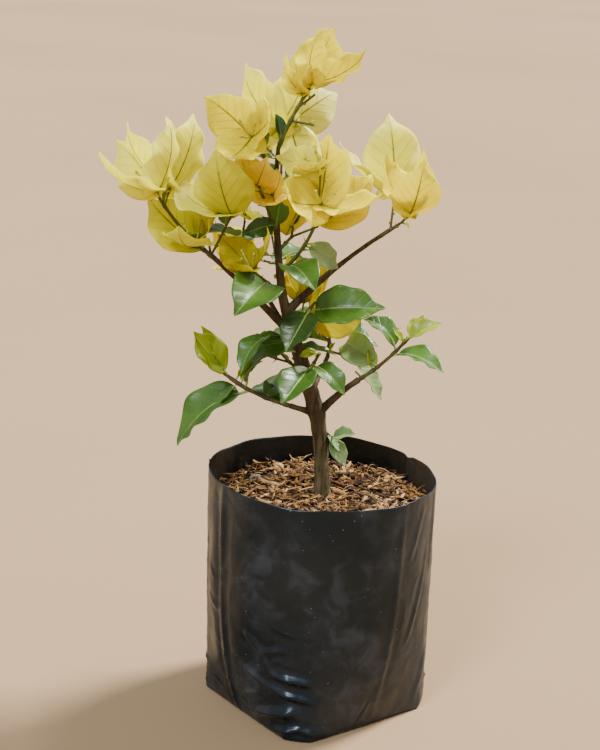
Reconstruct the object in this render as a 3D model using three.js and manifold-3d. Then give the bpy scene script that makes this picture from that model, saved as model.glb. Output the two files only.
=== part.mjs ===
// A young bougainvillea with yellow bracts, growing in a black nursery bag filled with coir.
// Millimetres and degrees, +Z up. The origin is the middle of the bag's flat underside.
// A bearing of 0 points right (+X), 90 away (+Y), 180 left and 270 towards the viewer.
// A rise is an angle above level, and a lift is how much the rise changes from root to tip.
import * as THREE from 'three';
import { mergeVertices } from 'three/addons/utils/BufferGeometryUtils.js';
import Module from 'manifold-3d';

const wasm = await Module();
wasm.setup();

const GAP = 0.3;            // clearance between pieces that meet
const CLEAR_VOLUME = 1e-4;  // pieces that share less than this are clear of each other
const MERGE_WITHIN = 1e-5;  // points nearer than this are one point

// Bag: round at its rim, a rounded square at its foot where the gussets fold out
const BAG_HEIGHT = 160;
const BAG_RIM_RADIUS = 75;
const BAG_FOOT_RADIUS = 74;
const BAG_WALL = 1.2;
const BAG_SIDES = 32;
const BAG_ROWS = [24, 52, 90, 136];   // heights at which the bag and the soil in it share a row of points
const FOOT_FLATTEN = 0.17;  // how far the middle of a side is drawn in at the foot
const FOOT_TURN = -8;       // bearing of the first corner
const FOOT_REACH = 90;      // height at which the bag is round again
const RIM_DROP = 5;         // the rim sags this much on the right
const RIM_DROP_POWER = 8;   // the higher it is, the nearer the sag keeps to the rim

// Soil: a loose heap of coir, level where the trunk stands in it
const SOIL_LEVEL = 140;
const SOIL_FLAT_RADIUS = 9;
const SOIL_HEAP_RADIUS = 30;
const SOIL_HEAP = 2.5;
const SOIL_SHOULDER_RADIUS = 55;
const SOIL_SHOULDER = 1;

// Trunk: internodes from the soil up, each a length and a lean to the right
const TRUNK_INTERNODES = [
  [26, -3], [29, -6], [23, -17], [25, -18], [28, -21], [29, -8], [26, -5], [28, -3], [20, 3]
];
const TRUNK_RADII = [5.2, 4.6, 4.9, 5.2, 4.0, 3.2, 2.6, 2.1, 1.8, 1.4];
const TRUNK_STEPS = 54;
const TRUNK_SIDES = 9;
const TRUNK_ROWS = 18;

// Boughs: the height at which each leaves the trunk, then its course and its two radii
const BOUGHS = {
  low_left: { at: 197, bearing: 196, rise: 18, length: 19, lift: 2, radii: [2.3, 1.8] },
  low_right: { at: 196, bearing: -14, rise: 52, length: 38, lift: -14, radii: [2.6, 2.0] },
  left: { at: 248, bearing: 188, rise: 46, length: 74, lift: -3, radii: [2.4, 1.6] },
  right: { at: 264, bearing: 8, rise: 47, length: 84, lift: -14, radii: [2.2, 1.4] },
  back_right: { at: 212, bearing: 75, rise: 14, length: 44, lift: 6, radii: [2.2, 1.5] },
  back_left: { at: 236, bearing: 138, rise: 46, length: 64, lift: 4, radii: [2.2, 1.5] }
};
const BOUGH_SIDES = 7;
const BOUGH_ROWS = 6;

// Twigs and what they carry
const LIMB_STEPS = 12;
const STEM_RADII = [1.5, 1.1];
const TWIG_RADII = [1.0, 0.8];
const STALK_RADII = [0.7, 0.6];
const TWIG_SIDES = 4;
const STALK_SIDES = 3;
const STEM_ROWS = 4;
const TWIG_ROWS = 2;
const ROOT_DEPTH = 1.0;     // how deep a blade is rooted in the stalk that carries it
const SUNK = 0.4;           // how deep a twig or stalk starts inside what bears it
const KNOB_RADIUS = 1.7;    // the stalk swells to this under a bloom
const BRACT_INSET = 0.5;    // a bract leaves the stalk this far out from its axis
const PETIOLE_SHARE = 0.2;  // a leaf's stalk, as a share of its blade
const RIB_THICKNESS = 0.8;
const LEAF_FOLD = 18;
const BRACT_FOLD = 8;
const BRACT_CUP = 50;       // a bract leaves the stalk wide and curls in by this much by its tip

const SHORT_BLADE = 45;     // a blade shorter than this has fewer rows
const SHORT_BLADE_ROWS = 4;
const BLADE_ROWS = 5;

// A blade's width, as a share of its length, and the powers that shape its two ends
const BLADES = {
  leaf: { width: 0.64, base: 0.5, tip: 0.9 },
  young: { width: 0.52, base: 0.6, tip: 0.95 },
  small: { width: 0.6, base: 0.6, tip: 0.85 },
  bract: { width: 0.72, base: 0.85, tip: 0.9 }
};

const COLOURS = {
  bag: 0x17181a, soil: 0x8a6a48, bark: 0x5b4a36, leaves: 0x4f7f2c, bracts: 0xe9dd62
};

// How each row below is laid out. on is a twig's number, and 0 is the mass's own stem.
const twig = (along, bearing, rise, length, lift = 0) => ({ along, bearing, rise, length, lift });
const leaf = (on, along, bearing, rise, length, droop, roll = 0, kind = 'leaf') =>
  ({ on, along, bearing, rise, length, droop, roll, kind });
const flower = (on, along, stalk, axis, size, open, turn) => ({ on, along, stalk, axis, size, open, turn });

// Masses: the limb each grows on, a height on the trunk or the tip, its stem, and what that bears.
// A stalk is its bearing, rise and length. An axis is the bearing and rise that a bloom faces.
const MASSES = {
  crown_tip: {
    limb: 'trunk', at: 'tip', stem: twig(0, 0, 70, 44, -12),
    twigs: [twig(0.62, 12, 38, 14), twig(0.42, 3, -9, 15)],
    leaves: [leaf(0, 0.12, 152, 80, 14, 22, 29, 'small')],
    flowers: [
      flower(0, 1, [27, 86, 2], [8, 59], 42, 30, 59),
      flower(0, 0.8, [164, 62, 3], [122, 83], 30, 33, 54),
      flower(0, 0.4, [91, -10, 20], [79, 6], 44, 50, 41),
      flower(0, 0.06, [103, 52, 12], [108, 40], 50, 29, 36)
    ]
  },
  crown_left: {
    limb: 'trunk', at: 349, stem: twig(0, 235, 51, 37),
    leaves: [leaf(0, 0.66, -60, 68, 13, 16, -2, 'small')],
    flowers: [flower(0, 1, [176, 20, 2], [246, 27], 42, 40, 39)]
  },
  flowers_left: {
    limb: 'left', at: 'tip', stem: twig(0, 188, 36, 54, 24),
    twigs: [twig(0.04, -47, 56, 33), twig(0.04, 158, 75, 11, 10)],
    leaves: [
      leaf(0, 0.15, 222, 28, 22, 24, 32),
      leaf(2, 0.7, -174, 34, 14, 45, -26, 'small'),
      leaf(1, 0.7, -70, 80, 17, 0, -14, 'small')
    ],
    flowers: [
      flower(0, 1, [156, 86, 2], [177, 61], 51, 37, 110),
      flower(0, 0.84, [78, 40, 15], [121, 64], 52, 30, 64),
      flower(0, 0.2, [197, 32, 4], [237, 62], 45, 41, 11),
      flower(1, 1, [-13, 86, 2], [138, 61], 52, 43, 22)
    ]
  },
  centre_left: {
    limb: 'trunk', at: 318, stem: twig(0, 235, 55, 36),
    leaves: [leaf(0, 0.11, 231, 0, 21, 56, 60), leaf(0, 0.05, -83, 50, 23, 13, 11)],
    flowers: [
      flower(0, 1, [128, 32, 2], [-45, 77], 30, 36, 71),
      flower(0, 0.5, [-25, 69, 9], [-110, 32], 22, 45, 2)
    ]
  },
  centre_right: {
    limb: 'trunk', at: 304, stem: twig(0, 20, 45, 14),
    twigs: [twig(0.9, 5, 84, 6), twig(0.9, -13, 25, 18)],
    leaves: [leaf(1, 0.96, 60, 73, 13, 45, -12, 'small')],
    flowers: [
      flower(2, 1, [-35, 41, 8], [37, 50], 45, 27, 8),
      flower(1, 1, [150, 20, 2], [128, 45], 42, 43, 76)
    ]
  },
  flowers_right_mid: {
    limb: 'trunk', at: 290, stem: twig(0, -50, 34, 61, 34),
    leaves: [leaf(0, 0.53, 8, -25, 25, 56, -60), leaf(0, 0.15, -70, 14, 37, 65, -9)],
    flowers: [
      flower(0, 1, [62, 86, 3], [-75, 51], 48, 49, 104),
      flower(0, 0.9, [73, 86, 31], [207, 32], 31, 36, 101)
    ]
  },
  flowers_right: {
    limb: 'right', at: 'tip', stem: twig(0, 0, 30, 8, 10),
    twigs: [twig(0.15, 71, 76, 13), twig(1, -75, 20, 18, 20)],
    flowers: [
      flower(1, 1, [24, 87, 13], [127, 52], 52, 27, 108),
      flower(2, 1, [5, 31, 2], [-105, 84], 43, 24, 3)
    ]
  },
  left_tuft: {
    limb: 'trunk', at: 276, stem: twig(0, 225, 35, 29),
    leaves: [leaf(0, 0.55, -100, 9, 50, 51, 20)],
    flowers: [flower(0, 1, [216, 45, 5], [224, 60], 32, 44, 16)]
  },
  shoot_right: {
    limb: 'trunk', at: 252, stem: twig(0, -50, 47, 32),
    leaves: [leaf(0, 0.7, -32, 16, 43, 52, -58), leaf(0, 0.8, -111, -25, 37, 3, 4)],
    flowers: [
      flower(0, 0.4, [86, 21, 24], [91, 74], 34, 30, 26),
      flower(0, 0.45, [66, -15, 18], [40, 20], 40, 48, 5)
    ]
  },
  mid_left_twig: {
    limb: 'trunk', at: 246, stem: twig(0, 215, 27, 21, -24),
    leaves: [leaf(0, 0.98, 225, -9, 29, 85), leaf(0, 0.21, 216, 0, 24, 8, 15)]
  },
  low_left_twig: {
    limb: 'low_left', at: 'tip', stem: twig(0, 187, 14, 53, 28),
    leaves: [
      leaf(0, 0.55, -172, -18, 52, 60, 17),
      leaf(0, 0.32, 70, 20, 21, 55, -27),
      leaf(0, 0.61, -54, 75, 40, 110, -60),
      leaf(0, 0.05, 118, 16, 44, 55, 23),
      leaf(0, 1, 143, 35, 23, 6, 28),
      leaf(0, 0.82, 206, 50, 36, 3, 59, 'young'),
      leaf(0, 0.91, 169, 64, 29, 8, 11, 'young'),
      leaf(0, 0.77, 21, 47, 19, 40, 26, 'young'),
      leaf(0, 0.72, -153, -43, 18, 10, 0, 'young'),
      leaf(0, 0.68, 11, 65, 13, 44, -16, 'young')
    ]
  },
  low_right_twig: {
    limb: 'low_right', at: 'tip', stem: twig(0, -14, 36, 44, 18),
    twigs: [twig(0.06, 156, 37, 6)],
    leaves: [
      leaf(0, 0.66, -33, 11, 32, 59, -10),
      leaf(0, 0.73, -169, 69, 27, 90, 41),
      leaf(0, 0.35, 155, 33, 34, 89, 60),
      leaf(0, 0.25, 114, 80, 13, 28, 5, 'small'),
      leaf(0, 0.93, -13, 42, 22, 40, -31, 'young'),
      leaf(0, 0.9, 182, 50, 10, 0, 28, 'young'),
      leaf(0, 0.98, 52, 37, 17, 0, -25, 'young')
    ]
  },
  low_shoot: {
    limb: 'trunk', at: 222, stem: twig(0, -65, 48, 27),
    leaves: [
      leaf(0, 0.5, -45, -5, 26, 76, -16),
      leaf(0, 0.6, -117, -18, 40, 11, 3, 'young'),
      leaf(0, 1, 189, 4, 11, 55, 43, 'young')
    ]
  },
  foot_shoot: {
    limb: 'trunk', at: 188, stem: twig(0, 10, -40, 12),
    leaves: [
      leaf(0, 0.6, -35, -40, 12, 20),
      leaf(0, 0.9, -45, 24, 18, 20, -40),
      leaf(0, 0.9, -38, -52, 18, 20, -40)
    ]
  },
  crown_back: {
    limb: 'trunk', at: 335, stem: twig(0, 79, 18, 40, 11),
    sprays: { count: 2, seed: 81, size: 36 }
  },
  centre_back: {
    limb: 'trunk', at: 284, stem: twig(0, 94, 1, 43, 4),
    sprays: { count: 2, seed: 104, size: 38 }
  },
  back_left_twig: {
    limb: 'back_left', at: 'tip', stem: twig(0, 153, 38, 35, 12),
    sprays: { count: 2, seed: 321, size: 38 }
  },
  back_right_twig: {
    limb: 'back_right', at: 'tip', stem: twig(0, 87, 22, 29, 14),
    twigs: [twig(0.2, 5, -12, 20, -20)],
    leaves: [leaf(1, 1, -5, -46, 27, 20, -20)],
    sprays: { count: 3, seed: 336 }
  },
  back_shoot: {
    limb: 'trunk', at: 222, stem: twig(0, 131, 14, 32, 14),
    sprays: { count: 3, seed: 207 }
  }
};

// A spray is a side twig with two leaves, placed round the stem by chance. With a size it also blooms.
// The sizes are middle values, and the last number in a pair is how widely chance spreads it.
const GOLDEN_ANGLE = 137.5;
const SPRAY = {
  round: 30, aside: 70, rise: 20, climb: 30, first: 0.35, share: 0.6, length: [24, 8], lift: 10,
  leafOut: [75, 30], leafAlong: [0.45, 0.1], leafRise: [10, 30], leafLength: [30, 10], leafDroop: 45,
  stalk: 4, face: 40, faceRise: 15, steepest: 85, size: 8, open: [34, 10]
};

// Directions and chance
const radians = THREE.MathUtils.degToRad;

function heading(bearing, rise) {
  const b = radians(bearing);
  const r = radians(rise);
  return new THREE.Vector3(Math.cos(r) * Math.cos(b), Math.cos(r) * Math.sin(b), Math.sin(r));
}

function sideways(bearing) {
  const b = radians(bearing);
  return new THREE.Vector3(Math.sin(b), -Math.cos(b), 0);
}

function dice(seed) {
  let state = seed >>> 0;
  return () => {
    state = (state + 0x6D2B79F5) >>> 0;
    let t = Math.imul(state ^ (state >>> 15), state | 1);
    t ^= t + Math.imul(t ^ (t >>> 7), t | 61);
    return ((t ^ (t >>> 14)) >>> 0) / 4294967296;
  };
}

// Paths: a limb is a row of points, each a short step on from the last
function limbPath(start, { bearing, rise, length, lift = 0 }, steps = LIMB_STEPS) {
  const path = [start.clone()];
  for (let i = 0; i < steps; i += 1) {
    const turned = rise + lift * (i + 0.5) / steps;
    path.push(path[i].clone().addScaledVector(heading(bearing, turned), length / steps));
  }
  return path;
}

function trunkPath() {
  const total = TRUNK_INTERNODES.reduce((sum, [length]) => sum + length, 0);
  const step = total / TRUNK_STEPS;
  const path = [new THREE.Vector3(0, 0, SOIL_LEVEL)];
  for (let i = 0; i < TRUNK_STEPS; i += 1) {
    path.push(path[i].clone().addScaledVector(heading(0, 90 - leanAt((i + 0.5) * step)), step));
  }
  return path;
}

// The lean runs evenly from the middle of one internode to the middle of the next
function leanAt(distance) {
  let [length, lean] = TRUNK_INTERNODES[0];
  let from = length / 2;
  if (distance <= from) return lean;
  for (const [nextLength, nextLean] of TRUNK_INTERNODES.slice(1)) {
    const middle = from + (length + nextLength) / 2;
    if (distance <= middle) return lean + (nextLean - lean) * (distance - from) / (middle - from);
    [length, lean, from] = [nextLength, nextLean, middle];
  }
  return lean;
}

function pointAlong(path, share) {
  const place = share * (path.length - 1);
  const i = Math.min(Math.floor(place), path.length - 2);
  return path[i].clone().lerp(path[i + 1], place - i);
}

function pointAtHeight(path, height) {
  const i = path.findIndex((point, n) => n > 0 && point.z >= height);
  const share = (height - path[i - 1].z) / (path[i].z - path[i - 1].z);
  return path[i - 1].clone().lerp(path[i], share);
}

function radiusAlong(radii, share) {
  const place = share * (radii.length - 1);
  const i = Math.min(Math.floor(place), radii.length - 2);
  return THREE.MathUtils.lerp(radii[i], radii[i + 1], place - i);
}

function lengthen(path, atRoot, atTip) {
  const last = path.length - 1;
  const longer = path.map((point) => point.clone());
  longer[0].add(path[0].clone().sub(path[1]).setLength(atRoot));
  longer[last].add(path[last].clone().sub(path[last - 1]).setLength(atTip));
  return longer;
}

function thinOut(path, count) {
  return Array.from({ length: count + 1 }, (_, i) => pointAlong(path, i / count));
}

// Solids: three.js shapes are closed, then joined and cut as solids
function closed(geometry) {
  geometry.deleteAttribute('normal');
  geometry.deleteAttribute('uv');
  return mergeVertices(geometry, MERGE_WITHIN);
}

function solidOf(geometry) {
  return new wasm.Manifold(new wasm.Mesh({
    numProp: 3,
    vertProperties: new Float32Array(geometry.attributes.position.array),
    triVerts: new Uint32Array(geometry.index.array)
  }));
}

function geometryOf(solid) {
  const { vertProperties, triVerts, numProp } = solid.getMesh();
  const geometry = new THREE.BufferGeometry();
  const positions = new Float32Array(vertProperties.length / numProp * 3);
  for (let i = 0; i < positions.length / 3; i += 1) {
    positions.set(vertProperties.subarray(i * numProp, i * numProp + 3), i * 3);
  }
  geometry.setAttribute('position', new THREE.BufferAttribute(positions, 3));
  geometry.setIndex(new THREE.BufferAttribute(new Uint32Array(triVerts), 1));
  geometry.computeVertexNormals();
  return geometry;
}

// A cylinder bent along a path, tapering from its first radius to its last
function tube(path, radii, sides) {
  const rows = path.length - 1;
  const geometry = closed(new THREE.CylinderGeometry(1, 1, 1, sides, rows));
  const place = geometry.attributes.position;
  const start = path[1].clone().sub(path[0]).normalize();
  const across = Math.abs(start.z) > 0.9 ? new THREE.Vector3(0, 1, 0) : new THREE.Vector3(0, 0, 1);
  for (let i = 0; i < place.count; i += 1) {
    const row = Math.round((place.getY(i) + 0.5) * rows);
    const ahead = path[Math.min(row + 1, rows)].clone().sub(path[Math.max(row - 1, 0)]).normalize();
    const side = ahead.clone().cross(across).normalize();
    const up = side.clone().cross(ahead);
    const radius = radiusAlong(radii, row / rows);
    const point = path[row].clone()
      .addScaledVector(side, place.getX(i) * radius)
      .addScaledVector(up, place.getZ(i) * radius);
    place.setXYZ(i, point.x, point.y, point.z);
  }
  return solidOf(geometry);
}

// A leaf or bract: a four-sided lens drawn out along a drooping midrib, folded up along it
function blade(base, ahead, face, { length, kind, droop, fold }) {
  const rows = length < SHORT_BLADE ? SHORT_BLADE_ROWS : BLADE_ROWS;
  const geometry = closed(new THREE.SphereGeometry(1, 4, rows));
  const side = ahead.clone().cross(face);
  const rib = [base.clone()];
  const bend = (share) => ({
    out: ahead.clone().multiplyScalar(Math.cos(radians(droop * share)))
      .addScaledVector(face, -Math.sin(radians(droop * share))),
    up: face.clone().multiplyScalar(Math.cos(radians(droop * share)))
      .addScaledVector(ahead, Math.sin(radians(droop * share)))
  });
  for (let i = 0; i < rows; i += 1) {
    rib.push(rib[i].clone().addScaledVector(bend((i + 0.5) / rows).out, length / rows));
  }
  const place = geometry.attributes.position;
  for (let i = 0; i < place.count; i += 1) {
    const row = Math.round((1 - Math.acos(THREE.MathUtils.clamp(place.getY(i), -1, 1)) / Math.PI) * rows);
    const { up } = bend(row / rows);
    const point = rib[row].clone();
    const half = halfWidth(kind, row / rows, length);
    const across = Math.sign(Math.round(place.getX(i)));
    const through = Math.sign(Math.round(place.getZ(i)));
    if (row > 0 && row < rows && across !== 0) {
      point.addScaledVector(side, across * half * Math.cos(radians(fold)));
      point.addScaledVector(up, half * Math.sin(radians(fold)));
    } else if (row > 0 && row < rows) {
      point.addScaledVector(up, through * RIB_THICKNESS / 2);
    }
    place.setXYZ(i, point.x, point.y, point.z);
  }
  return solidOf(geometry);
}

function halfWidth(kind, share, length) {
  const { width, base, tip } = BLADES[kind];
  const widest = base / (base + tip);
  const swell = (share / widest) ** base * ((1 - share) / (1 - widest)) ** tip;
  return length * width / 2 * swell;
}

// Growing a mass: every twig, leaf and bract is a small solid, kept only where it is clear
function leafSolids(row, base) {
  const ahead = heading(row.bearing, row.rise);
  const side = sideways(row.bearing);
  const face = side.clone().cross(ahead).multiplyScalar(Math.cos(radians(row.roll)))
    .addScaledVector(side, -Math.sin(radians(row.roll)));
  const foot = base.clone().addScaledVector(ahead, row.length * PETIOLE_SHARE);
  const petiole = lengthen([base, foot], SUNK, ROOT_DEPTH * 2);
  const shape = { length: row.length, kind: row.kind, droop: row.droop, fold: LEAF_FOLD };
  return [tube(petiole, STALK_RADII, STALK_SIDES), blade(foot, ahead, face, shape)];
}

function flowerSolids(row, base) {
  const [bearing, rise, length] = row.stalk;
  const stalk = limbPath(base, { bearing, rise, length }, 1);
  const heart = stalk[1];
  const axis = heading(...row.axis);
  const side = sideways(row.axis[0]);
  const up = side.clone().cross(axis);
  const shape = { length: row.size, kind: 'bract', droop: -BRACT_CUP, fold: BRACT_FOLD };
  const solids = [tube(lengthen(stalk, SUNK, ROOT_DEPTH), [STALK_RADII[0], KNOB_RADIUS], STALK_SIDES)];
  for (let k = 0; k < 3; k += 1) {
    const turn = radians(row.turn + 120 * k);
    const out = side.clone().multiplyScalar(Math.cos(turn)).addScaledVector(up, Math.sin(turn));
    const open = radians(row.open + BRACT_CUP / 2);
    const ahead = axis.clone().multiplyScalar(Math.cos(open)).addScaledVector(out, Math.sin(open));
    const face = axis.clone().multiplyScalar(Math.sin(open)).addScaledVector(out, -Math.cos(open));
    const root = heart.clone().addScaledVector(out, BRACT_INSET).addScaledVector(ahead, -ROOT_DEPTH);
    solids.push(blade(root, ahead, face, shape));
  }
  return solids;
}

// The seeded rule for what grows by chance, as rows like those above
function sprayRows(stem, firstTwig, { count, seed, size }) {
  const roll = dice(seed);
  const spread = ([middle, width]) => middle + (roll() - 0.5) * width;
  const rows = { twigs: [], leaves: [], flowers: [] };
  for (let k = 0; k < count; k += 1) {
    const round = radians(spread([k * GOLDEN_ANGLE, SPRAY.round]));
    const on = firstTwig + k;
    const bearing = stem.bearing + SPRAY.aside * Math.sin(round);
    const rise = stem.rise + SPRAY.rise + SPRAY.climb * Math.cos(round);
    const along = k === count - 1 ? 1 : SPRAY.first + SPRAY.share * k / count;
    rows.twigs.push(twig(along, bearing, rise, spread(SPRAY.length), SPRAY.lift));
    for (const hand of [1, -1]) {
      const out = bearing + hand * spread(SPRAY.leafOut);
      const place = SPRAY.leafAlong[0] + hand * SPRAY.leafAlong[1];
      const leafRise = spread(SPRAY.leafRise);
      rows.leaves.push(leaf(on, place, out, leafRise, spread(SPRAY.leafLength), SPRAY.leafDroop));
    }
    if (!size) continue;
    const stalk = [bearing, rise, SPRAY.stalk];
    const axis = [bearing + spread([0, SPRAY.face]), Math.min(rise + SPRAY.faceRise, SPRAY.steepest)];
    const bracts = spread([size, SPRAY.size]);
    rows.flowers.push(flower(on, 1, stalk, axis, bracts, spread(SPRAY.open), roll() * 120));
  }
  return rows;
}

function growMass(mass, limb) {
  const start = mass.at === 'tip' ? limb.path[limb.path.length - 1] : pointAtHeight(limb.path, mass.at);
  const paths = [limbPath(start, mass.stem)];
  const grown = mass.sprays
    ? sprayRows(mass.stem, 1 + (mass.twigs ?? []).length, mass.sprays)
    : { twigs: [], leaves: [], flowers: [] };
  const twigs = [...(mass.twigs ?? []), ...grown.twigs];
  twigs.forEach((row) => paths.push(limbPath(pointAlong(paths[0], row.along), row)));
  const solids = paths.map((path, i) => {
    const [radii, rows] = i === 0 ? [STEM_RADII, STEM_ROWS] : [TWIG_RADII, TWIG_ROWS];
    return tube(lengthen(thinOut(path, rows), SUNK, SUNK), radii, TWIG_SIDES);
  });
  let stem = solids.reduce((whole, solid) => whole.add(solid)).subtract(limb.sleeve);
  for (const row of [...(mass.leaves ?? []), ...grown.leaves]) {
    stem = join(stem, leafSolids(row, pointAlong(paths[row.on], row.along)));
  }
  for (const row of [...(mass.flowers ?? []), ...grown.flowers]) {
    stem = join(stem, flowerSolids(row, pointAlong(paths[row.on], row.along)));
  }
  return largest(stem);
}

// Sleeves are the limbs with clearance round them, and the masses that already stand
const sleeves = [];
const standing = [];

function isClear(solid) {
  return [...sleeves, ...standing].every((other) => solid.intersect(other).volume() < CLEAR_VOLUME);
}

// The first solid is a stalk, and the rest are the blades it carries
function join(whole, [stalk, ...blades]) {
  const kept = blades.filter(isClear);
  if (kept.length === 0) return whole;
  const foot = sleeves.reduce((rest, sleeve) => rest.subtract(sleeve), stalk);
  return kept.reduce((sum, solid) => sum.add(solid), whole.add(foot));
}

function largest(solid) {
  const pieces = solid.decompose();
  return pieces.reduce((best, piece) => (piece.volume() > best.volume() ? piece : best));
}

// Bag and soil share one section: round above, drawn in between the corners below
function bagRadius(radius, bearing, height) {
  const low = THREE.MathUtils.clamp(1 - height / FOOT_REACH, 0, 1) ** 2;
  const flat = (1 - Math.cos(4 * radians(bearing - FOOT_TURN))) / 2;
  return radius * (1 - FOOT_FLATTEN * low * flat);
}

function shapeToBag(geometry) {
  const shaped = closed(geometry.rotateX(Math.PI / 2));
  const place = shaped.attributes.position;
  for (let i = 0; i < place.count; i += 1) {
    const [x, y, z] = [place.getX(i), place.getY(i), place.getZ(i)];
    const bearing = THREE.MathUtils.radToDeg(Math.atan2(y, x));
    const radius = Math.hypot(x, y);
    const wide = radius === 0 ? 0 : bagRadius(radius, bearing, z) / radius;
    const drop = RIM_DROP * (z / BAG_HEIGHT) ** RIM_DROP_POWER * (0.5 + 0.5 * Math.cos(radians(bearing)));
    place.setXYZ(i, x * wide, y * wide, z - drop);
  }
  return solidOf(shaped);
}

function bagWallRadius(height) {
  return THREE.MathUtils.lerp(BAG_FOOT_RADIUS, BAG_RIM_RADIUS, height / BAG_HEIGHT);
}

function wallRows(inset, heights) {
  return heights.map((height) => new THREE.Vector2(bagWallRadius(height) - inset, height));
}

function turned(rows) {
  const [first, last] = [rows[0], rows[rows.length - 1]];
  const profile = [new THREE.Vector2(0, first.y), ...rows, new THREE.Vector2(0, last.y)];
  return shapeToBag(new THREE.LatheGeometry(profile, BAG_SIDES));
}

function makeBag() {
  const outside = turned(wallRows(0, [0, ...BAG_ROWS, BAG_HEIGHT]));
  const inside = turned(wallRows(BAG_WALL, [BAG_WALL, ...BAG_ROWS, BAG_HEIGHT, BAG_HEIGHT + BAG_WALL]));
  return outside.subtract(inside);
}

function makeSoil() {
  const inset = BAG_WALL + GAP;
  return turned([
    ...wallRows(inset, [inset, ...BAG_ROWS]),
    new THREE.Vector2(SOIL_SHOULDER_RADIUS, SOIL_LEVEL + SOIL_SHOULDER),
    new THREE.Vector2(SOIL_HEAP_RADIUS, SOIL_LEVEL + SOIL_HEAP),
    new THREE.Vector2(SOIL_FLAT_RADIUS, SOIL_LEVEL)
  ]);
}

// Assembly
const potted = new THREE.Group();

function addPiece(name, solid, color, roughness) {
  const material = new THREE.MeshStandardMaterial({ color, roughness, metalness: 0 });
  const mesh = new THREE.Mesh(geometryOf(solid), material);
  mesh.name = name;
  potted.add(mesh);
}

addPiece('bag', makeBag(), COLOURS.bag, 0.4);
addPiece('soil', makeSoil(), COLOURS.soil, 0.95);

const limbs = { trunk: { path: trunkPath() } };
const trunkFoot = [...limbs.trunk.path];
trunkFoot[0] = new THREE.Vector3(0, 0, SOIL_LEVEL + GAP);
addPiece('trunk', tube(thinOut(trunkFoot, TRUNK_ROWS), TRUNK_RADII, TRUNK_SIDES), COLOURS.bark, 0.85);
const wider = (radii) => radii.map((radius) => radius + GAP);
limbs.trunk.sleeve = tube(lengthen(thinOut(trunkFoot, TRUNK_ROWS), 0, GAP), wider(TRUNK_RADII), TRUNK_SIDES);
sleeves.push(limbs.trunk.sleeve);

for (const [name, row] of Object.entries(BOUGHS)) {
  const path = limbPath(pointAtHeight(limbs.trunk.path, row.at), row, BOUGH_ROWS);
  const body = tube(path, row.radii, BOUGH_SIDES).subtract(limbs.trunk.sleeve);
  const sleeve = tube(lengthen(path, 0, GAP), wider(row.radii), BOUGH_SIDES);
  limbs[name] = { path, sleeve };
  sleeves.push(sleeve);
  addPiece(`bough_${name}`, largest(body), COLOURS.bark, 0.8);
}

for (const [name, mass] of Object.entries(MASSES)) {
  const solid = growMass(mass, limbs[mass.limb]);
  standing.push(solid);
  addPiece(name, solid, mass.flowers || mass.sprays?.size ? COLOURS.bracts : COLOURS.leaves, 0.6);
}

export default potted;
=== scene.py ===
import math
import bmesh
import bpy
import numpy as np
from mathutils import Matrix, Vector, noise


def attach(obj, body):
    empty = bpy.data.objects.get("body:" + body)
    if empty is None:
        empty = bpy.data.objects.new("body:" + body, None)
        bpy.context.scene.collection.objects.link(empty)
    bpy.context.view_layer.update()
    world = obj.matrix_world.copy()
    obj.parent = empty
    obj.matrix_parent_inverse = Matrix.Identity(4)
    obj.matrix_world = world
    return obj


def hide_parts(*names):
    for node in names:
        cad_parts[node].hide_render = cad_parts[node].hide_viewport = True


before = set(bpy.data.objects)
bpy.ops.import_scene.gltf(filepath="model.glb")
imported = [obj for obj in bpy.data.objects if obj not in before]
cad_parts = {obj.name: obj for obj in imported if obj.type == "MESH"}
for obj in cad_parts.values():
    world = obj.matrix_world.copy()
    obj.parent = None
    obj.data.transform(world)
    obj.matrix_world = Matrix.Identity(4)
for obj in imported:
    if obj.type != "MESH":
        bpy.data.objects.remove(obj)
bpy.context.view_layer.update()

# A young bougainvillea with yellow bracts, in a black nursery bag of coir.
# Shapes are worked out in millimetres and degrees, and become metres when a piece is finished.
# A bearing of 0 points right, 90 away, 180 left and 270 towards the viewer. A rise is above level.
metres = 0.001
print("frame loaded")


# Shader maths: a wrapped socket that adds its own Math nodes
class Signal:
    def __init__(self, paint, socket):
        self.paint = paint
        self.socket = socket

    def maths(self, operation, *others, clamp=False):
        values = dict(enumerate([self, *others]))
        return self.paint.node("Math", {"operation": operation, "use_clamp": clamp}, values)

    def turned(self, operation, other):
        return self.paint.node("Math", {"operation": operation}, {0: other, 1: self})

    def __add__(self, other):
        return self.maths("ADD", other)

    def __radd__(self, other):
        return self.turned("ADD", other)

    def __sub__(self, other):
        return self.maths("SUBTRACT", other)

    def __rsub__(self, other):
        return self.turned("SUBTRACT", other)

    def __mul__(self, other):
        return self.maths("MULTIPLY", other)

    def __rmul__(self, other):
        return self.turned("MULTIPLY", other)

    def __abs__(self):
        return self.maths("ABSOLUTE")

    def clamped(self):
        return self.maths("ADD", 0.0, clamp=True)

    def ramp(self, low, high, start=0.0, end=1.0):
        settings = {"interpolation_type": "SMOOTHSTEP"}
        values = {"Value": self, "From Min": low, "From Max": high, "To Min": start, "To Max": end}
        return self.paint.node("MapRange", settings, values)


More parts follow.
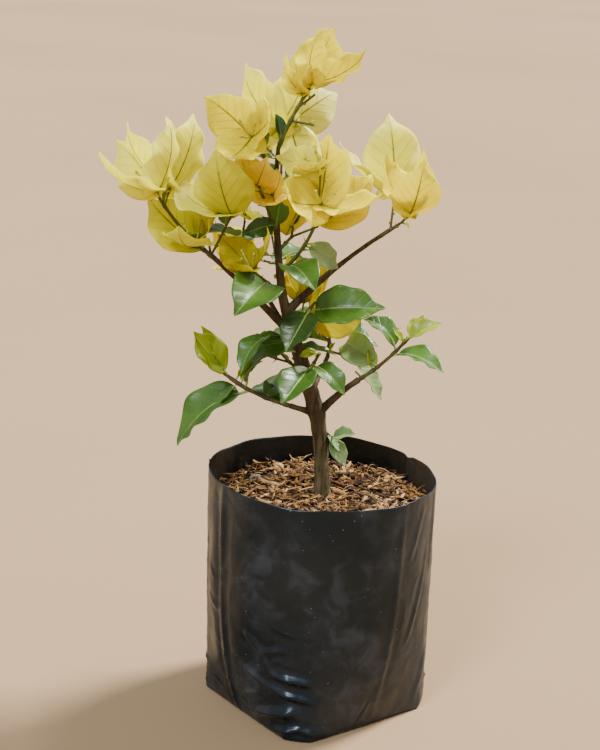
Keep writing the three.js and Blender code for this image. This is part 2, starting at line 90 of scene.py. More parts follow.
class Paint:
    def __init__(self, name):
        self.material = bpy.data.materials.new(name)
        self.material.use_nodes = True
        self.tree = self.material.node_tree
        self.tree.nodes.clear()

    def node(self, kind, settings=None, values=None, out=0):
        made = self.tree.nodes.new("ShaderNode" + kind)
        for key, value in (settings or {}).items():
            if key == "stops":
                self.setStops(made.color_ramp, value)
            else:
                setattr(made, key, value)
        for key, value in (values or {}).items():
            if isinstance(value, Signal):
                self.tree.links.new(value.socket, made.inputs[key])
            else:
                made.inputs[key].default_value = value
        return Signal(self, made.outputs[out])

    def setStops(self, ramp, stops):
        while len(ramp.elements) < len(stops):
            ramp.elements.new(0.5)
        for element, (place, colour) in zip(ramp.elements, stops):
            element.position = place
            element.color = colour

    def mix(self, share, first, second):
        return self.node("Mix", {"data_type": "RGBA"}, {0: share, 6: first, 7: second}, out=2)

    def place(self, scale=(1, 1, 1)):
        where = self.node("TexCoord", out=3)
        return self.node("Mapping", None, {"Vector": where, "Scale": scale})

    def noise(self, scale, detail, stretch=(1, 1, 1), distortion=0.0):
        values = {"Vector": self.place(stretch), "Scale": scale, "Detail": detail,
                  "Roughness": 0.55, "Distortion": distortion}
        return self.node("TexNoise", None, values)

    def parts(self, vector):
        # The three numbers of a vector
        split = self.node("SeparateXYZ", None, {0: vector})
        return [Signal(self, output) for output in split.socket.node.outputs]

    def bump(self, height, strength, distance):
        return self.node("Bump", None, {"Strength": strength, "Distance": distance, "Height": height})

    def surface(self, colour, roughness, specular, **others):
        values = {"Base Color": colour, "Roughness": roughness, "Specular IOR Level": specular}
        return self.node("BsdfPrincipled", None, {**values, **others})

    def finish(self, shader):
        output = self.tree.nodes.new("ShaderNodeOutputMaterial")
        self.tree.links.new(shader.socket, output.inputs["Surface"])
        return self.material


def tone(red, green, blue):
    def linear(value):
        share = value / 255
        return share / 12.92 if share <= 0.04045 else ((share + 0.055) / 1.055) ** 2.4
    return (linear(red), linear(green), linear(blue), 1.0)


# Directions, chance and paths, by the same rule as the solids
def heading(bearing, rise):
    b, r = math.radians(bearing), math.radians(rise)
    return Vector((math.cos(r) * math.cos(b), math.cos(r) * math.sin(b), math.sin(r)))


def sideways(bearing):
    b = math.radians(bearing)
    return Vector((math.sin(b), -math.cos(b), 0))


def polar(away, bearing):
    b = math.radians(bearing)
    return away * math.cos(b), away * math.sin(b)


def apart(bearing, other):
    # The turn from one bearing to another, between -180 and 180
    return (bearing - other + 180) % 360 - 180


def clamp(value):
    return max(0, min(1, value))


def bell(gap, reach):
    return math.exp(-(gap / reach) ** 2)


def roughAt(x, y, z, scale, tall=0, seed=0):
    # Noise between -1 and 1, with its own scale along Z
    return noise.noise(Vector((x * scale, y * scale, z * tall + seed)))


def ridgeAt(x, y, z, scale, tall, seed):
    return 1 - abs(roughAt(x, y, z, scale, tall, seed)) * 2


def dice(seed):
    state = [seed & 0xFFFFFFFF]

    def roll():
        state[0] = (state[0] + 0x6D2B79F5) & 0xFFFFFFFF
        t = state[0]
        t = ((t ^ (t >> 15)) * (t | 1)) & 0xFFFFFFFF
        t ^= (t + (((t ^ (t >> 7)) * (t | 61)) & 0xFFFFFFFF)) & 0xFFFFFFFF
        return ((t ^ (t >> 14)) & 0xFFFFFFFF) / 4294967296
    return roll


def varied(pair, roll):
    # The least value and how much chance may add
    return pair[0] + pair[1] * roll()


def limbPath(start, row, steps=12):
    path = [Vector(start)]
    for i in range(steps):
        turned = row["rise"] + row["lift"] * (i + 0.5) / steps
        path.append(path[-1] + heading(row["bearing"], turned) * (row["length"] / steps))
    return path


def pointAlong(path, share):
    place = share * (len(path) - 1)
    i = min(int(place), len(path) - 2)
    return path[i].lerp(path[i + 1], place - i)


def pointAtHeight(path, height):
    i = next(n for n in range(1, len(path)) if path[n].z >= height)
    share = (height - path[i - 1].z) / (path[i].z - path[i - 1].z)
    return path[i - 1].lerp(path[i], share)


# Meshes: a sheaf gathers copies of a shape made by an operator, each put in its own place
class Shape:
    def __init__(self, bm):
        self.points = np.array([v.co[:] for v in bm.verts])
        self.faces = [[v.index for v in face.verts] for face in bm.faces]
        bm.free()


class Sheaf:
    def __init__(self):
        self.points, self.uvs, self.faces, self.slots = [], [], [], []
        self.count = 0

    def add(self, shape, points, slot, uvs=None):
        self.points.append(points)
        self.uvs.append(np.zeros((len(points), 2)) if uvs is None else uvs)
        self.faces += [[i + self.count for i in face] for face in shape.faces]
        self.slots += [slot] * len(shape.faces)
        self.count += len(points)

    def grow(self, name, materials, nodes, slot):
        mesh = bpy.data.meshes.new(name)
        mesh.from_pydata(np.concatenate(self.points) * metres, [], self.faces)
        mesh.polygons.foreach_set("material_index", self.slots)
        mesh.shade_smooth()
        corners = np.zeros(len(mesh.loops), dtype=int)
        mesh.loops.foreach_get("vertex_index", corners)
        layer = mesh.uv_layers.new(name="UVMap")
        layer.uv.foreach_set("vector", np.concatenate(self.uvs)[corners].ravel())
        return place(name, mesh, materials, nodes, slot)


def link(name, data):
    made = bpy.data.objects.new(name, data)
    bpy.context.collection.objects.link(made)
    return made


def place(name, mesh, materials, nodes, slot):
    piece = link(name, mesh)
    for material in materials:
        mesh.materials.append(material)
    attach(piece, "root")
    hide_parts(*nodes)
    return piece


def meshFrom(name, bm):
    mesh = bpy.data.meshes.new(name)
    bm.to_mesh(mesh)
    bm.free()
    return mesh


def meshOf(name, bm, materials, nodes, slot):
    bmesh.ops.scale(bm, vec=(metres, metres, metres), verts=bm.verts)
    mesh = meshFrom(name, bm)
    mesh.shade_smooth()
    return place(name, mesh, materials, nodes, slot)


def sheetShape(columns, rows):
    bm = bmesh.new()
    bmesh.ops.create_grid(bm, x_segments=columns, y_segments=rows, size=1)
    return bm


def rolledShape(sides, rows):
    # A sheet rolled up into a closed rod of radius 1, from 0 to 1 along Z
    bm = sheetShape(sides, rows)
    for v in bm.verts:
        turn = math.pi * v.co.x
        v.co = (math.cos(turn), math.sin(turn), (v.co.y + 1) / 2)
    bmesh.ops.remove_doubles(bm, verts=bm.verts, dist=1e-4)
    bmesh.ops.holes_fill(bm, edges=[e for e in bm.edges if e.is_boundary], sides=0)
    bmesh.ops.recalc_face_normals(bm, faces=bm.faces)
    return bm


def frames(path):
    # The side and up of each point of a path, carried along without twisting
    count = len(path)
    ahead = [(path[min(i + 1, count - 1)] - path[max(i - 1, 0)]).normalized() for i in range(count)]
    start = Vector((0, 1, 0)) if abs(ahead[0].z) > 0.9 else Vector((0, 0, 1))
    side = ahead[0].cross(start).normalized()
    made = []
    for i in range(count):
        side = (side - ahead[i] * side.dot(ahead[i])).normalized()
        made.append((np.array(side), np.array(ahead[i].cross(side))))
    return made


rods = {}


def addRod(sheaf, path, radii, sides, slot):
    # radii holds one radius for each point of the path
    rows = len(path) - 1
    if (sides, rows) not in rods:
        rods[sides, rows] = Shape(rolledShape(sides, rows))
    shape = rods[sides, rows]
    row = np.rint(shape.points[:, 2] * rows).astype(int)
    made = frames(path)
    side = np.array([f[0] for f in made])[row]
    up = np.array([f[1] for f in made])[row]
    radius = np.array(radii)[row, None]
    spine = np.array([p[:] for p in path])[row]
    points = spine + (side * shape.points[:, :1] + up * shape.points[:, 1:2]) * radius
    sheaf.add(shape, points, slot)


# Leaves and bracts
# lobe: how far the base reaches back beside its stalk. point: how drawn out the tip is.
# ripple and waves: the margin's waviness. quilt: how far it swells between its side veins.
bladeKinds = {
    "leaf": {"width": 0.64, "base": 0.5, "tip": 0.9, "lobe": 0.07, "point": 0.3, "fold": 17, "cup": 0.10,
             "ripple": 0.030, "waves": 2.6, "quilt": 0.010, "pairs": 6, "slant": 1.0, "flick": -24},
    "young": {"width": 0.62, "base": 0.6, "tip": 0.9, "lobe": 0.02, "point": 0.3, "fold": 20, "cup": 0.12,
              "ripple": 0.030, "waves": 2.2, "quilt": 0.012, "pairs": 5, "slant": 1.0, "flick": -20},
    "small": {"width": 0.6, "base": 0.6, "tip": 0.85, "lobe": 0.02, "point": 0.25, "fold": 20, "cup": 0.15,
              "ripple": 0.02, "waves": 1.5, "quilt": 0.008, "pairs": 4, "slant": 1.0, "flick": 10},
    "bract": {"width": 0.74, "base": 0.55, "tip": 0.92, "lobe": 0.13, "point": 0.42, "fold": 9, "cup": 0.13,
              "ripple": 0.040, "waves": 2.3, "quilt": 0.012, "pairs": 6, "slant": 1.15, "flick": -30}
}
# spacing: how much of the rows' spacing is even, and how much is closer at both ends.
# A value that ends in Chance is the least that chance gives and how much it may add.
bladeRule = {
    "spacing": (0.55, 0.45), "edge": 1e-6, "crease": 0.1, "flickChance": (0.4, 1.2), "lobeChance": (0.7, 0.6),
    "waveChance": (0.8, 0.5), "waveFade": 0.6, "waveReach": 2.5, "quiltRound": 0.6, "twist": 20, "sway": 0.12,
    "drawnAt": 0.9, "drawnReach": 0.11, "ribPoints": 60
}
# The sheets that become blades, as columns and rows
wholeShape = Shape(sheetShape(14, 36))
halfShape = Shape(sheetShape(8, 20))
petalShape = Shape(sheetShape(4, 6))


def halfWidth(kind, share, length):
    k, rule = bladeKinds[kind], bladeRule
    widest = k["base"] / (k["base"] + k["tip"])
    swell = (share / widest) ** k["base"] * ((1 - share) / (1 - widest)) ** k["tip"]
    drawn = 1 - k["point"] * np.exp(-((share - rule["drawnAt"]) / rule["drawnReach"]) ** 2)
    return length * k["width"] / 2 * swell * drawn


def ribCurve(base, ahead, face, length, droop, flick):
    # The midrib as points, with the direction and the upward normal at each
    count = bladeRule["ribPoints"]
    share = np.linspace(0, 1, count)
    bend = np.radians(droop * share + flick * share ** 5)
    a, f = np.array(ahead), np.array(face)
    out = np.cos(bend)[:, None] * a - np.sin(bend)[:, None] * f
    up = np.cos(bend)[:, None] * f + np.sin(bend)[:, None] * a
    middle = (out[1:] + out[:-1]) / 2 * length / (count - 1)
    rib = np.array(base) + np.concatenate([np.zeros((1, 3)), np.cumsum(middle, axis=0)])
    return share, rib, out, up


def between(places, share, values):
    return np.stack([np.interp(places, share, values[:, i]) for i in range(3)], axis=-1)


def addBlade(sheaf, base, ahead, face, row, roll, slot, shape=wholeShape):
    # row gives length, kind and droop, and may give a twist and a sway of its own
    k, rule = bladeKinds[row["kind"]], bladeRule
    length = row["length"]
    flick = k["flick"] * varied(rule["flickChance"], roll)
    share, rib, out, up = ribCurve(base, ahead, face, length, row["droop"], flick)
    across = shape.points[:, 0]
    v = (shape.points[:, 1] + 1) / 2
    even, drawnIn = rule["spacing"]
    t = even * v + drawnIn * (0.5 - 0.5 * np.cos(math.pi * v))
    half = halfWidth(row["kind"], np.clip(t, rule["edge"], 1 - rule["edge"]), length)
    half = np.where(v > 1 - rule["edge"], 0, half)
    # The base reaches back beside the stalk
    lobe = k["lobe"] * varied(rule["lobeChance"], roll)
    back = t - lobe * across ** 2 * (1 - t) ** 6
    inside = np.clip(back, 0, 1)
    along = between(inside, share, out)
    above = between(inside, share, up)
    spine = between(inside, share, rib) + along * ((back - inside) * length)[:, None]
    # The twist, then the fold and the cup
    twist = np.radians((roll() - 0.5) * row.get("twist", rule["twist"])) * t
    side = np.array(Vector(ahead).cross(Vector(face)))
    beside = np.cos(twist)[:, None] * side + np.sin(twist)[:, None] * above
    above = np.cos(twist)[:, None] * above - np.sin(twist)[:, None] * side
    fold = math.radians(k["fold"])
    x = across * half * math.cos(fold)
    lift = np.sqrt(across ** 2 + rule["crease"] ** 2) - rule["crease"]
    z = half * (math.sin(fold) * lift + k["cup"] * across ** 2)
    # Each margin has waves of its own, and the blade swells between its side veins
    for hand in (-1, 1):
        phase = roll() * 2 * math.pi
        waves = k["waves"] * varied(rule["waveChance"], roll)
        fade = np.sin(math.pi * np.clip(t, 0, 1)) ** rule["waveFade"]
        wave = np.sin(2 * math.pi * waves * t + phase) * fade
        z += np.where(across * hand > 0, k["ripple"] * length * wave * np.abs(across) ** rule["waveReach"], 0)
    ribs = np.abs(np.sin(math.pi * k["pairs"] * (t - k["slant"] * np.abs(x) / length)))
    middle = np.clip(3 * np.abs(across) * (1 - np.abs(across)), 0, 1)
    z += k["quilt"] * length * (ribs ** rule["quiltRound"] - 0.5) * middle
    sway = (roll() - 0.5) * row.get("sway", rule["sway"]) * length * t ** 2
    points = spine + beside * (x + sway)[:, None] + above * z[:, None]
    sheaf.add(shape, points, slot, np.stack([0.5 + x / length, t], axis=1))
    return share, rib, up, sway[np.argmax(np.abs(sway))]


# The plant: rows as in the solids, with tints. on: 0 for the stem, then the twigs in turn. inner: the tint
# of the second bract. skip: the bracts that are left out, because they would touch something else.
# The gold and olive bract tints are painted shade: darker copies of the yellow for bracts that lie in shade.
def twig(along, bearing, rise, length, lift=0):
    return {"along": along, "bearing": bearing, "rise": rise, "length": length, "lift": lift}


def leaf(on, along, bearing, rise, length, droop, roll=0, kind="leaf", tint=None):
    return {"on": on, "along": along, "bearing": bearing, "rise": rise, "length": length,
            "droop": droop, "roll": roll, "kind": kind, "tint": tint}


def bloom(on, along, stalk, axis, size, opening, turn, tint, inner=None, skip=()):
    return {"on": on, "along": along, "stalk": stalk, "axis": axis, "size": size, "open": opening,
            "turn": turn, "tint": tint, "inner": inner or tint, "skip": skip}


def massRow(group, limb, at, stem, **rows):
    return {"group": group, "limb": limb, "at": at, "stem": stem, **rows}


# internodes: the length of each and how far it leans to the right, so all but the last lean left
trunkRule = {
    "internodes": [(26, -3), (29, -6), (23, -17), (25, -18), (28, -21), (29, -8), (26, -5), (28, -3),
                   (20, 3)],
    "radii": [5.2, 4.6, 4.9, 5.2, 4.0, 3.2, 2.6, 2.1, 1.8, 1.4],
    "steps": 54, "foot": 140
}
boughRows = {
    "low_left": {"at": 197, "bearing": 196, "rise": 18, "length": 19, "lift": 2, "radii": (2.3, 1.8)},
    "low_right": {"at": 196, "bearing": -14, "rise": 52, "length": 38, "lift": -14, "radii": (2.6, 2.0)},
    "left": {"at": 248, "bearing": 188, "rise": 46, "length": 74, "lift": -3, "radii": (2.4, 1.6)},
    "right": {"at": 264, "bearing": 8, "rise": 47, "length": 84, "lift": -14, "radii": (2.2, 1.4)},
    "back_right": {"at": 212, "bearing": 75, "rise": 14, "length": 44, "lift": 6, "radii": (2.2, 1.5)},
    "back_left": {"at": 236, "bearing": 138, "rise": 46, "length": 64, "lift": 4, "radii": (2.2, 1.5)}
}
masses = {
    "crown_tip": massRow(
        "top", "trunk", "tip", twig(0, 0, 70, 44, -12),
        twigs=[twig(0.62, 12, 38, 14), twig(0.42, 3, -9, 15)],
        leaves=[leaf(0, 0.12, 152, 80, 14, 22, 29, "small", "deep")],
        blooms=[
            bloom(0, 1, (27, 86, 2), (8, 59), 42, 30, 59, "lemon"),
            bloom(0, 0.8, (164, 62, 3), (122, 83), 30, 33, 54, "lemon"),
            bloom(0, 0.4, (91, -10, 20), (79, 6), 44, 50, 41, "pale"),
            bloom(0, 0.06, (103, 52, 12), (108, 40), 50, 29, 36, "cream")
        ]
    ),
    "crown_left": massRow(
        "top", "trunk", 349, twig(0, 235, 51, 37),
        leaves=[leaf(0, 0.66, -60, 68, 13, 16, -2, "small", "deep")],
        blooms=[bloom(0, 1, (176, 20, 2), (246, 27), 42, 40, 39, "lemon")]
    ),
    "flowers_left": massRow(
        "left", "left", "tip", twig(0, 188, 36, 54, 24),
        twigs=[twig(0.04, -47, 56, 33), twig(0.04, 158, 75, 11, 10)],
        leaves=[
            leaf(0, 0.15, 222, 28, 22, 24, 32),
            leaf(2, 0.7, -174, 34, 14, 45, -26, "small"),
            leaf(1, 0.7, -70, 80, 17, 0, -14, "small", "deep")
        ],
        blooms=[
            bloom(0, 1, (156, 86, 2), (177, 61), 51, 37, 110, "cream"),
            bloom(0, 0.84, (78, 40, 15), (121, 64), 52, 30, 64, "cream"),
            # The gold second bract is painted shade
            bloom(0, 0.2, (197, 32, 4), (237, 62), 45, 41, 11, "lime", "gold"),
            bloom(1, 1, (-13, 86, 2), (138, 61), 52, 43, 22, "cream", "lime", skip=(0,))
        ]
    ),
    "centre_left": massRow(
        "left", "trunk", 318, twig(0, 235, 55, 36),
        leaves=[
            leaf(0, 0.11, 231, 0, 21, 56, 60, "leaf", "deep"),
            leaf(0, 0.05, -83, 50, 23, 13, 11, "leaf", "deep")
        ],
        blooms=[
            bloom(0, 1, (128, 32, 2), (-45, 77), 30, 36, 71, "amber", skip=(1,)),
            bloom(0, 0.5, (-25, 69, 9), (-110, 32), 22, 45, 2, "amber")
        ]
    ),
    "centre_right": massRow(
        "right", "trunk", 304, twig(0, 20, 45, 14),
        twigs=[twig(0.9, 5, 84, 6), twig(0.9, -13, 25, 18)],
        leaves=[leaf(1, 0.96, 60, 73, 13, 45, -12, "small", "deep")],
        blooms=[
            bloom(2, 1, (-35, 41, 8), (37, 50), 45, 27, 8, "lemon"),
            bloom(1, 1, (150, 20, 2), (128, 45), 42, 43, 76, "lemon", skip=(1,))
        ]
    ),
    "flowers_right_mid": massRow(
        "right", "trunk", 290, twig(0, -50, 34, 61, 34),
        leaves=[
            leaf(0, 0.53, 8, -25, 25, 56, -60, "leaf", "pale"),
            leaf(0, 0.15, -70, 14, 37, 65, -9)
        ],
        blooms=[
            bloom(0, 1, (62, 86, 3), (-75, 51), 48, 49, 104, "lemon"),
            # The gold second bract is painted shade
            bloom(0, 0.9, (73, 86, 31), (207, 32), 31, 36, 101, "cream", "gold")
        ]
    ),
    "flowers_right": massRow(
        "right", "right", "tip", twig(0, 0, 30, 8, 10),
        twigs=[twig(0.15, 71, 76, 13), twig(1, -75, 20, 18, 20)],
        blooms=[
            bloom(1, 1, (24, 87, 13), (127, 52), 52, 27, 108, "cream"),
            bloom(2, 1, (5, 31, 2), (-105, 84), 43, 24, 3, "lemon")
        ]
    ),
    "left_tuft": massRow(
        "left", "trunk", 276, twig(0, 225, 35, 29),
        leaves=[leaf(0, 0.55, -100, 9, 50, 51, 20)],
        # The olive bloom is painted shade
        blooms=[bloom(0, 1, (216, 45, 5), (224, 60), 32, 44, 16, "olive")]
    ),
    "shoot_right": massRow(
        "low", "trunk", 252, twig(0, -50, 47, 32),
        leaves=[
            leaf(0, 0.7, -32, 16, 43, 52, -58),
            leaf(0, 0.8, -111, -25, 37, 3, 4, "leaf", "deep")
        ],
        # The gold blooms are painted shade
        blooms=[
            bloom(0, 0.4, (86, 21, 24), (91, 74), 34, 30, 26, "gold"),
            bloom(0, 0.45, (66, -15, 18), (40, 20), 40, 48, 5, "gold")
        ]
    ),
    "mid_left_twig": massRow(
        "low", "trunk", 246, twig(0, 215, 27, 21, -24),
        leaves=[leaf(0, 0.98, 225, -9, 29, 85), leaf(0, 0.21, 216, 0, 24, 8, 15)]
    ),
    "low_left_twig": massRow(
        "low", "low_left", "tip", twig(0, 187, 14, 53, 28),
        leaves=[
            leaf(0, 0.55, -172, -18, 52, 60, 17),
            leaf(0, 0.32, 70, 20, 21, 55, -27),
            leaf(0, 0.61, -54, 75, 40, 110, -60),
            leaf(0, 0.05, 118, 16, 44, 55, 23),
            leaf(0, 1, 143, 35, 23, 6, 28, "leaf", "lime"),
            leaf(0, 0.82, 206, 50, 36, 3, 59, "young"),
            leaf(0, 0.91, 169, 64, 29, 8, 11, "young"),
            leaf(0, 0.77, 21, 47, 19, 40, 26, "young"),
            leaf(0, 0.72, -153, -43, 18, 10, 0, "young", "mid"),
            leaf(0, 0.68, 11, 65, 13, 44, -16, "young")
        ]
    ),
    "low_right_twig": massRow(
        "low", "low_right", "tip", twig(0, -14, 36, 44, 18),
        twigs=[twig(0.06, 156, 37, 6)],
        leaves=[
            leaf(0, 0.66, -33, 11, 32, 59, -10),
            leaf(0, 0.73, -169, 69, 27, 90, 41),
            leaf(0, 0.35, 155, 33, 34, 89, 60, "leaf", "pale"),
            leaf(0, 0.25, 114, 80, 13, 28, 5, "small"),
            leaf(0, 0.93, -13, 42, 22, 40, -31, "young"),
            leaf(0, 0.9, 182, 50, 10, 0, 28, "young"),
            leaf(0, 0.98, 52, 37, 17, 0, -25, "young")
        ]
    ),
    "low_shoot": massRow(
        "low", "trunk", 222, twig(0, -65, 48, 27),
        leaves=[
            leaf(0, 0.5, -45, -5, 26, 76, -16),
            leaf(0, 0.6, -117, -18, 40, 11, 3, "young", "mid"),
            leaf(0, 1, 189, 4, 11, 55, 43, "young")
        ]
    ),
    "foot_shoot": massRow(
        "low", "trunk", 188, twig(0, 10, -40, 12),
        leaves=[
            leaf(0, 0.6, -35, -40, 12, 20, 0, "leaf", "pale"),
            leaf(0, 0.9, -45, 24, 18, 20, -40, "leaf", "pale"),
            leaf(0, 0.9, -38, -52, 18, 20, -40, "leaf", "pale")
        ]
    ),
    "crown_back": massRow(
        "back", "trunk", 335, twig(0, 79, 18, 40, 11),
        sprays={"count": 2, "seed": 81, "size": 36}, tints=("cream", "lemon"), skips={0: (0, 1, 2)}
    ),
    "centre_back": massRow(
        "back", "trunk", 284, twig(0, 94, 1, 43, 4),
        sprays={"count": 2, "seed": 104, "size": 38}, tints=("cream", "lemon"), skips={0: (0,)}
    ),
    "back_left_twig": massRow(
        "back", "back_left", "tip", twig(0, 153, 38, 35, 12),
        sprays={"count": 2, "seed": 321, "size": 38}, tints=("lime", "cream"),
        skips={0: (0, 1), 1: (1,)}
    ),
    "back_right_twig": massRow(
        "back", "back_right", "tip", twig(0, 87, 22, 29, 14),
        twigs=[twig(0.2, 5, -12, 20, -20)],
        leaves=[leaf(1, 1, -5, -46, 27, 20, -20, "leaf", "pale")],
        sprays={"count": 3, "seed": 336, "size": 0}
    ),
    "back_shoot": massRow(
        "back", "trunk", 222, twig(0, 131, 14, 32, 14),
        sprays={"count": 3, "seed": 207, "size": 0}, bare=(2,)
    )
}
sprayRule = {
    "round": 30, "aside": 70, "rise": 20, "climb": 30, "first": 0.35, "share": 0.6, "length": (24, 8),
    "lift": 10, "leafOut": (75, 30), "leafAlong": (0.45, 0.1), "leafRise": (10, 30), "leafLength": (30, 10),
    "leafDroop": 45, "stalk": 4, "face": 40, "faceRise": 15, "steepest": 85, "size": 8, "open": (34, 10),
    "golden": 137.5
}


def sprayRows(stem, firstTwig, mass):
    rule, sprays = sprayRule, mass["sprays"]
    roll = dice(sprays["seed"])

    def spread(pair):
        return pair[0] + (roll() - 0.5) * pair[1]
    twigs, leaves, blooms = [], [], []
    for k in range(sprays["count"]):
        place = math.radians(spread((k * rule["golden"], rule["round"])))
        bearing = stem["bearing"] + rule["aside"] * math.sin(place)
        rise = stem["rise"] + rule["rise"] + rule["climb"] * math.cos(place)
        last = k == sprays["count"] - 1
        along = 1 if last else rule["first"] + rule["share"] * k / sprays["count"]
        twigs.append(twig(along, bearing, rise, spread(rule["length"]), rule["lift"]))
        for hand in (1, -1):
            out = bearing + hand * spread(rule["leafOut"])
            leafAt = rule["leafAlong"][0] + hand * rule["leafAlong"][1]
            leafRise = spread(rule["leafRise"])
            leafLength = spread(rule["leafLength"])
            leaves.append(leaf(firstTwig + k, leafAt, out, leafRise, leafLength, rule["leafDroop"]))
        if not sprays["size"]:
            continue
        axis = (bearing + spread((0, rule["face"])), min(rise + rule["faceRise"], rule["steepest"]))
        size = spread((sprays["size"], rule["size"]))
        opening = spread(rule["open"])
        stalk = (bearing, rise, rule["stalk"])
        skip = mass.get("skips", {}).get(k, ())
        turn = roll() * 120
        blooms.append(bloom(firstTwig + k, 1, stalk, axis, size, opening, turn, mass["tints"][k], skip=skip))
    leaves = [row for i, row in enumerate(leaves) if i not in mass.get("bare", ())]
    return twigs, leaves, [row for row in blooms if len(row["skip"]) < 3]


def trunkPath():
    rule = trunkRule
    total = sum(length for length, _ in rule["internodes"])
    ends = np.cumsum([0] + [length for length, _ in rule["internodes"]])
    middles = (ends[1:] + ends[:-1]) / 2
    leans = [lean for _, lean in rule["internodes"]]
    step = total / rule["steps"]
    path = [Vector((0, 0, rule["foot"]))]
    for i in range(rule["steps"]):
        lean = float(np.interp((i + 0.5) * step, middles, leans))
        path.append(path[-1] + heading(0, 90 - lean) * step)
    return path


trunk = trunkPath()
limbs = {"trunk": trunk}
for name, row in boughRows.items():
    limbs[name] = limbPath(pointAtHeight(trunk, row["at"]), row, 6)

# Slots: the order in which the materials of each kind of piece are given
leafTints = ["mid", "deep", "pale", "lime"]
bractTints = ["lemon", "cream", "pale", "gold", "olive", "lime", "amber"]
twigTints = ["wood", "green", "stalk", "rib", "leafRib", "thorn"]
blossomTints = ["tube", "bud", "star"]
kindTints = {"leaf": "mid", "young": "lime", "small": "lime"}


class Crown:
    def __init__(self, opened):
        self.twigs, self.leaves, self.bracts, self.blossom = Sheaf(), Sheaf(), Sheaf(), Sheaf()
        self.nodes = []
        self.opened = opened  # the share of the true flowers that are open


# Twigs: radii at both ends, rows along them, sides round them, and their swollen nodes
twigRule = {
    "stem": {"radii": (1.3, 0.95), "rows": 30, "sides": 9},
    "twig": {"radii": (0.85, 0.7), "rows": 18, "sides": 8},
    "sunk": 1.2, "swell": 0.38, "most": 1.2, "reach": 0.035
}


def addTwig(crown, path, kind, nodes, tint):
    rule, row = twigRule, twigRule[kind]
    first, last = row["radii"]
    shares = [i / row["rows"] for i in range(row["rows"] + 1)]
    points = [pointAlong(path, share) for share in shares]
    radii = []
    for share in shares:
        swell = sum(bell(share - node, rule["reach"]) for node in nodes)
        radii.append((first + (last - first) * share) * (1 + rule["swell"] * min(swell, rule["most"])))
    points[0] = points[0] - (points[1] - points[0]).normalized() * rule["sunk"]
    addRod(crown.twigs, points, radii, row["sides"], twigTints.index(tint))


def addTaper(sheaf, slot, base, direction, row):
    # A short tapering outgrowth that curls up: a thorn, a bud or a flower's tube
    path, rows = [Vector(base)], row["rows"]
    ahead = Vector(direction).normalized()
    for i in range(rows):
        ahead = (ahead + Vector((0, 0, 1)) * row["curl"] / rows).normalized()
        path.append(path[-1] + ahead * (row["length"] / rows))
    radii = np.interp(np.linspace(0, 1, rows + 1), np.linspace(0, 1, len(row["radii"])), row["radii"])
    addRod(sheaf, path, radii, row["sides"], slot)
    return path[-1], ahead


# Midribs: for each kind, how far they reach along the blade, their last radius, and how deep they lie
ribRule = {
    "rows": 14, "sides": 5, "leaf": (0.86, 0.12, 0.28), "bract": (0.84, 0.1, 0.05), "bractRadius": 0.45
}


def addRib(crown, curve, kind, first, tint, side):
    # The raised midrib of a blade, following its curve for part of its length
    share, rib, up, sway = curve
    reach, last, below = ribRule[kind]
    count = ribRule["rows"]
    points, radii = [], []
    for i in range(count + 1):
        t = reach * i / count
        above = Vector(between(t, share, up))
        points.append(Vector(between(t, share, rib)) + side * (sway * t ** 2) - above * below)
        radii.append(first + (last - first) * i / count)
    addRod(crown.twigs, points, radii, ribRule["sides"], twigTints.index(tint))


# Leaf stalks: their share of the leaf's length, sag, ends, thickness and radii along them. A leaf no longer
# than halfShape takes the coarser sheet.
petioleRule = {
    "share": 0.2, "sag": 0.03, "sunk": 0.5, "over": 0.6, "thick": (0.35, 0.012),
    "radii": (1.5, 1, 0.95, 1, 1.1), "sides": 7, "halfShape": 18
}


def addLeaf(crown, row, base, roll):
    rule, length = petioleRule, row["length"]
    ahead = heading(row["bearing"], row["rise"])
    side = sideways(row["bearing"])
    q = math.radians(row["roll"])
    face = side.cross(ahead) * math.cos(q) - side * math.sin(q)
    foot = base + ahead * (length * rule["share"])
    thick = rule["thick"][0] + rule["thick"][1] * length
    first, last = base - ahead * rule["sunk"], foot + ahead * rule["over"]
    middle = base.lerp(foot, 0.5) - face * (rule["sag"] * length)
    shares = (0, 0.25, 0.5, 0.75, 1)
    petiole = [first.lerp(middle, t).lerp(middle.lerp(last, t), t) for t in shares]
    radii = [thick * more for more in rule["radii"]]
    addRod(crown.twigs, petiole, radii, rule["sides"], twigTints.index("leafRib"))
    shape = wholeShape if length > rule["halfShape"] else halfShape
    tint = row["tint"] or kindTints[row["kind"]]
    curve = addBlade(crown.leaves, foot, ahead, face, row, roll, leafTints.index(tint), shape)
    addRib(crown, curve, "leaf", thick, "leafRib", side)


# A bloom: three bracts round a knob on a stalk, each with a true flower in front of it
bloomRule = {
    "stalk": (0.7, 0.58, 0.609, 1.12, 0.84), "stalkSides": 8, "stalkSunk": 0.6, "stalkOver": 1.6,
    "cup": 50, "tile": 13, "inset": 0.5, "sunk": 0.8, "twist": 24, "sway": 0.16,
    "flowered": 22, "flowerOut": 0.8, "flowerUp": 0.6, "flowerAxis": 1.4, "flowerLean": 0.75
}


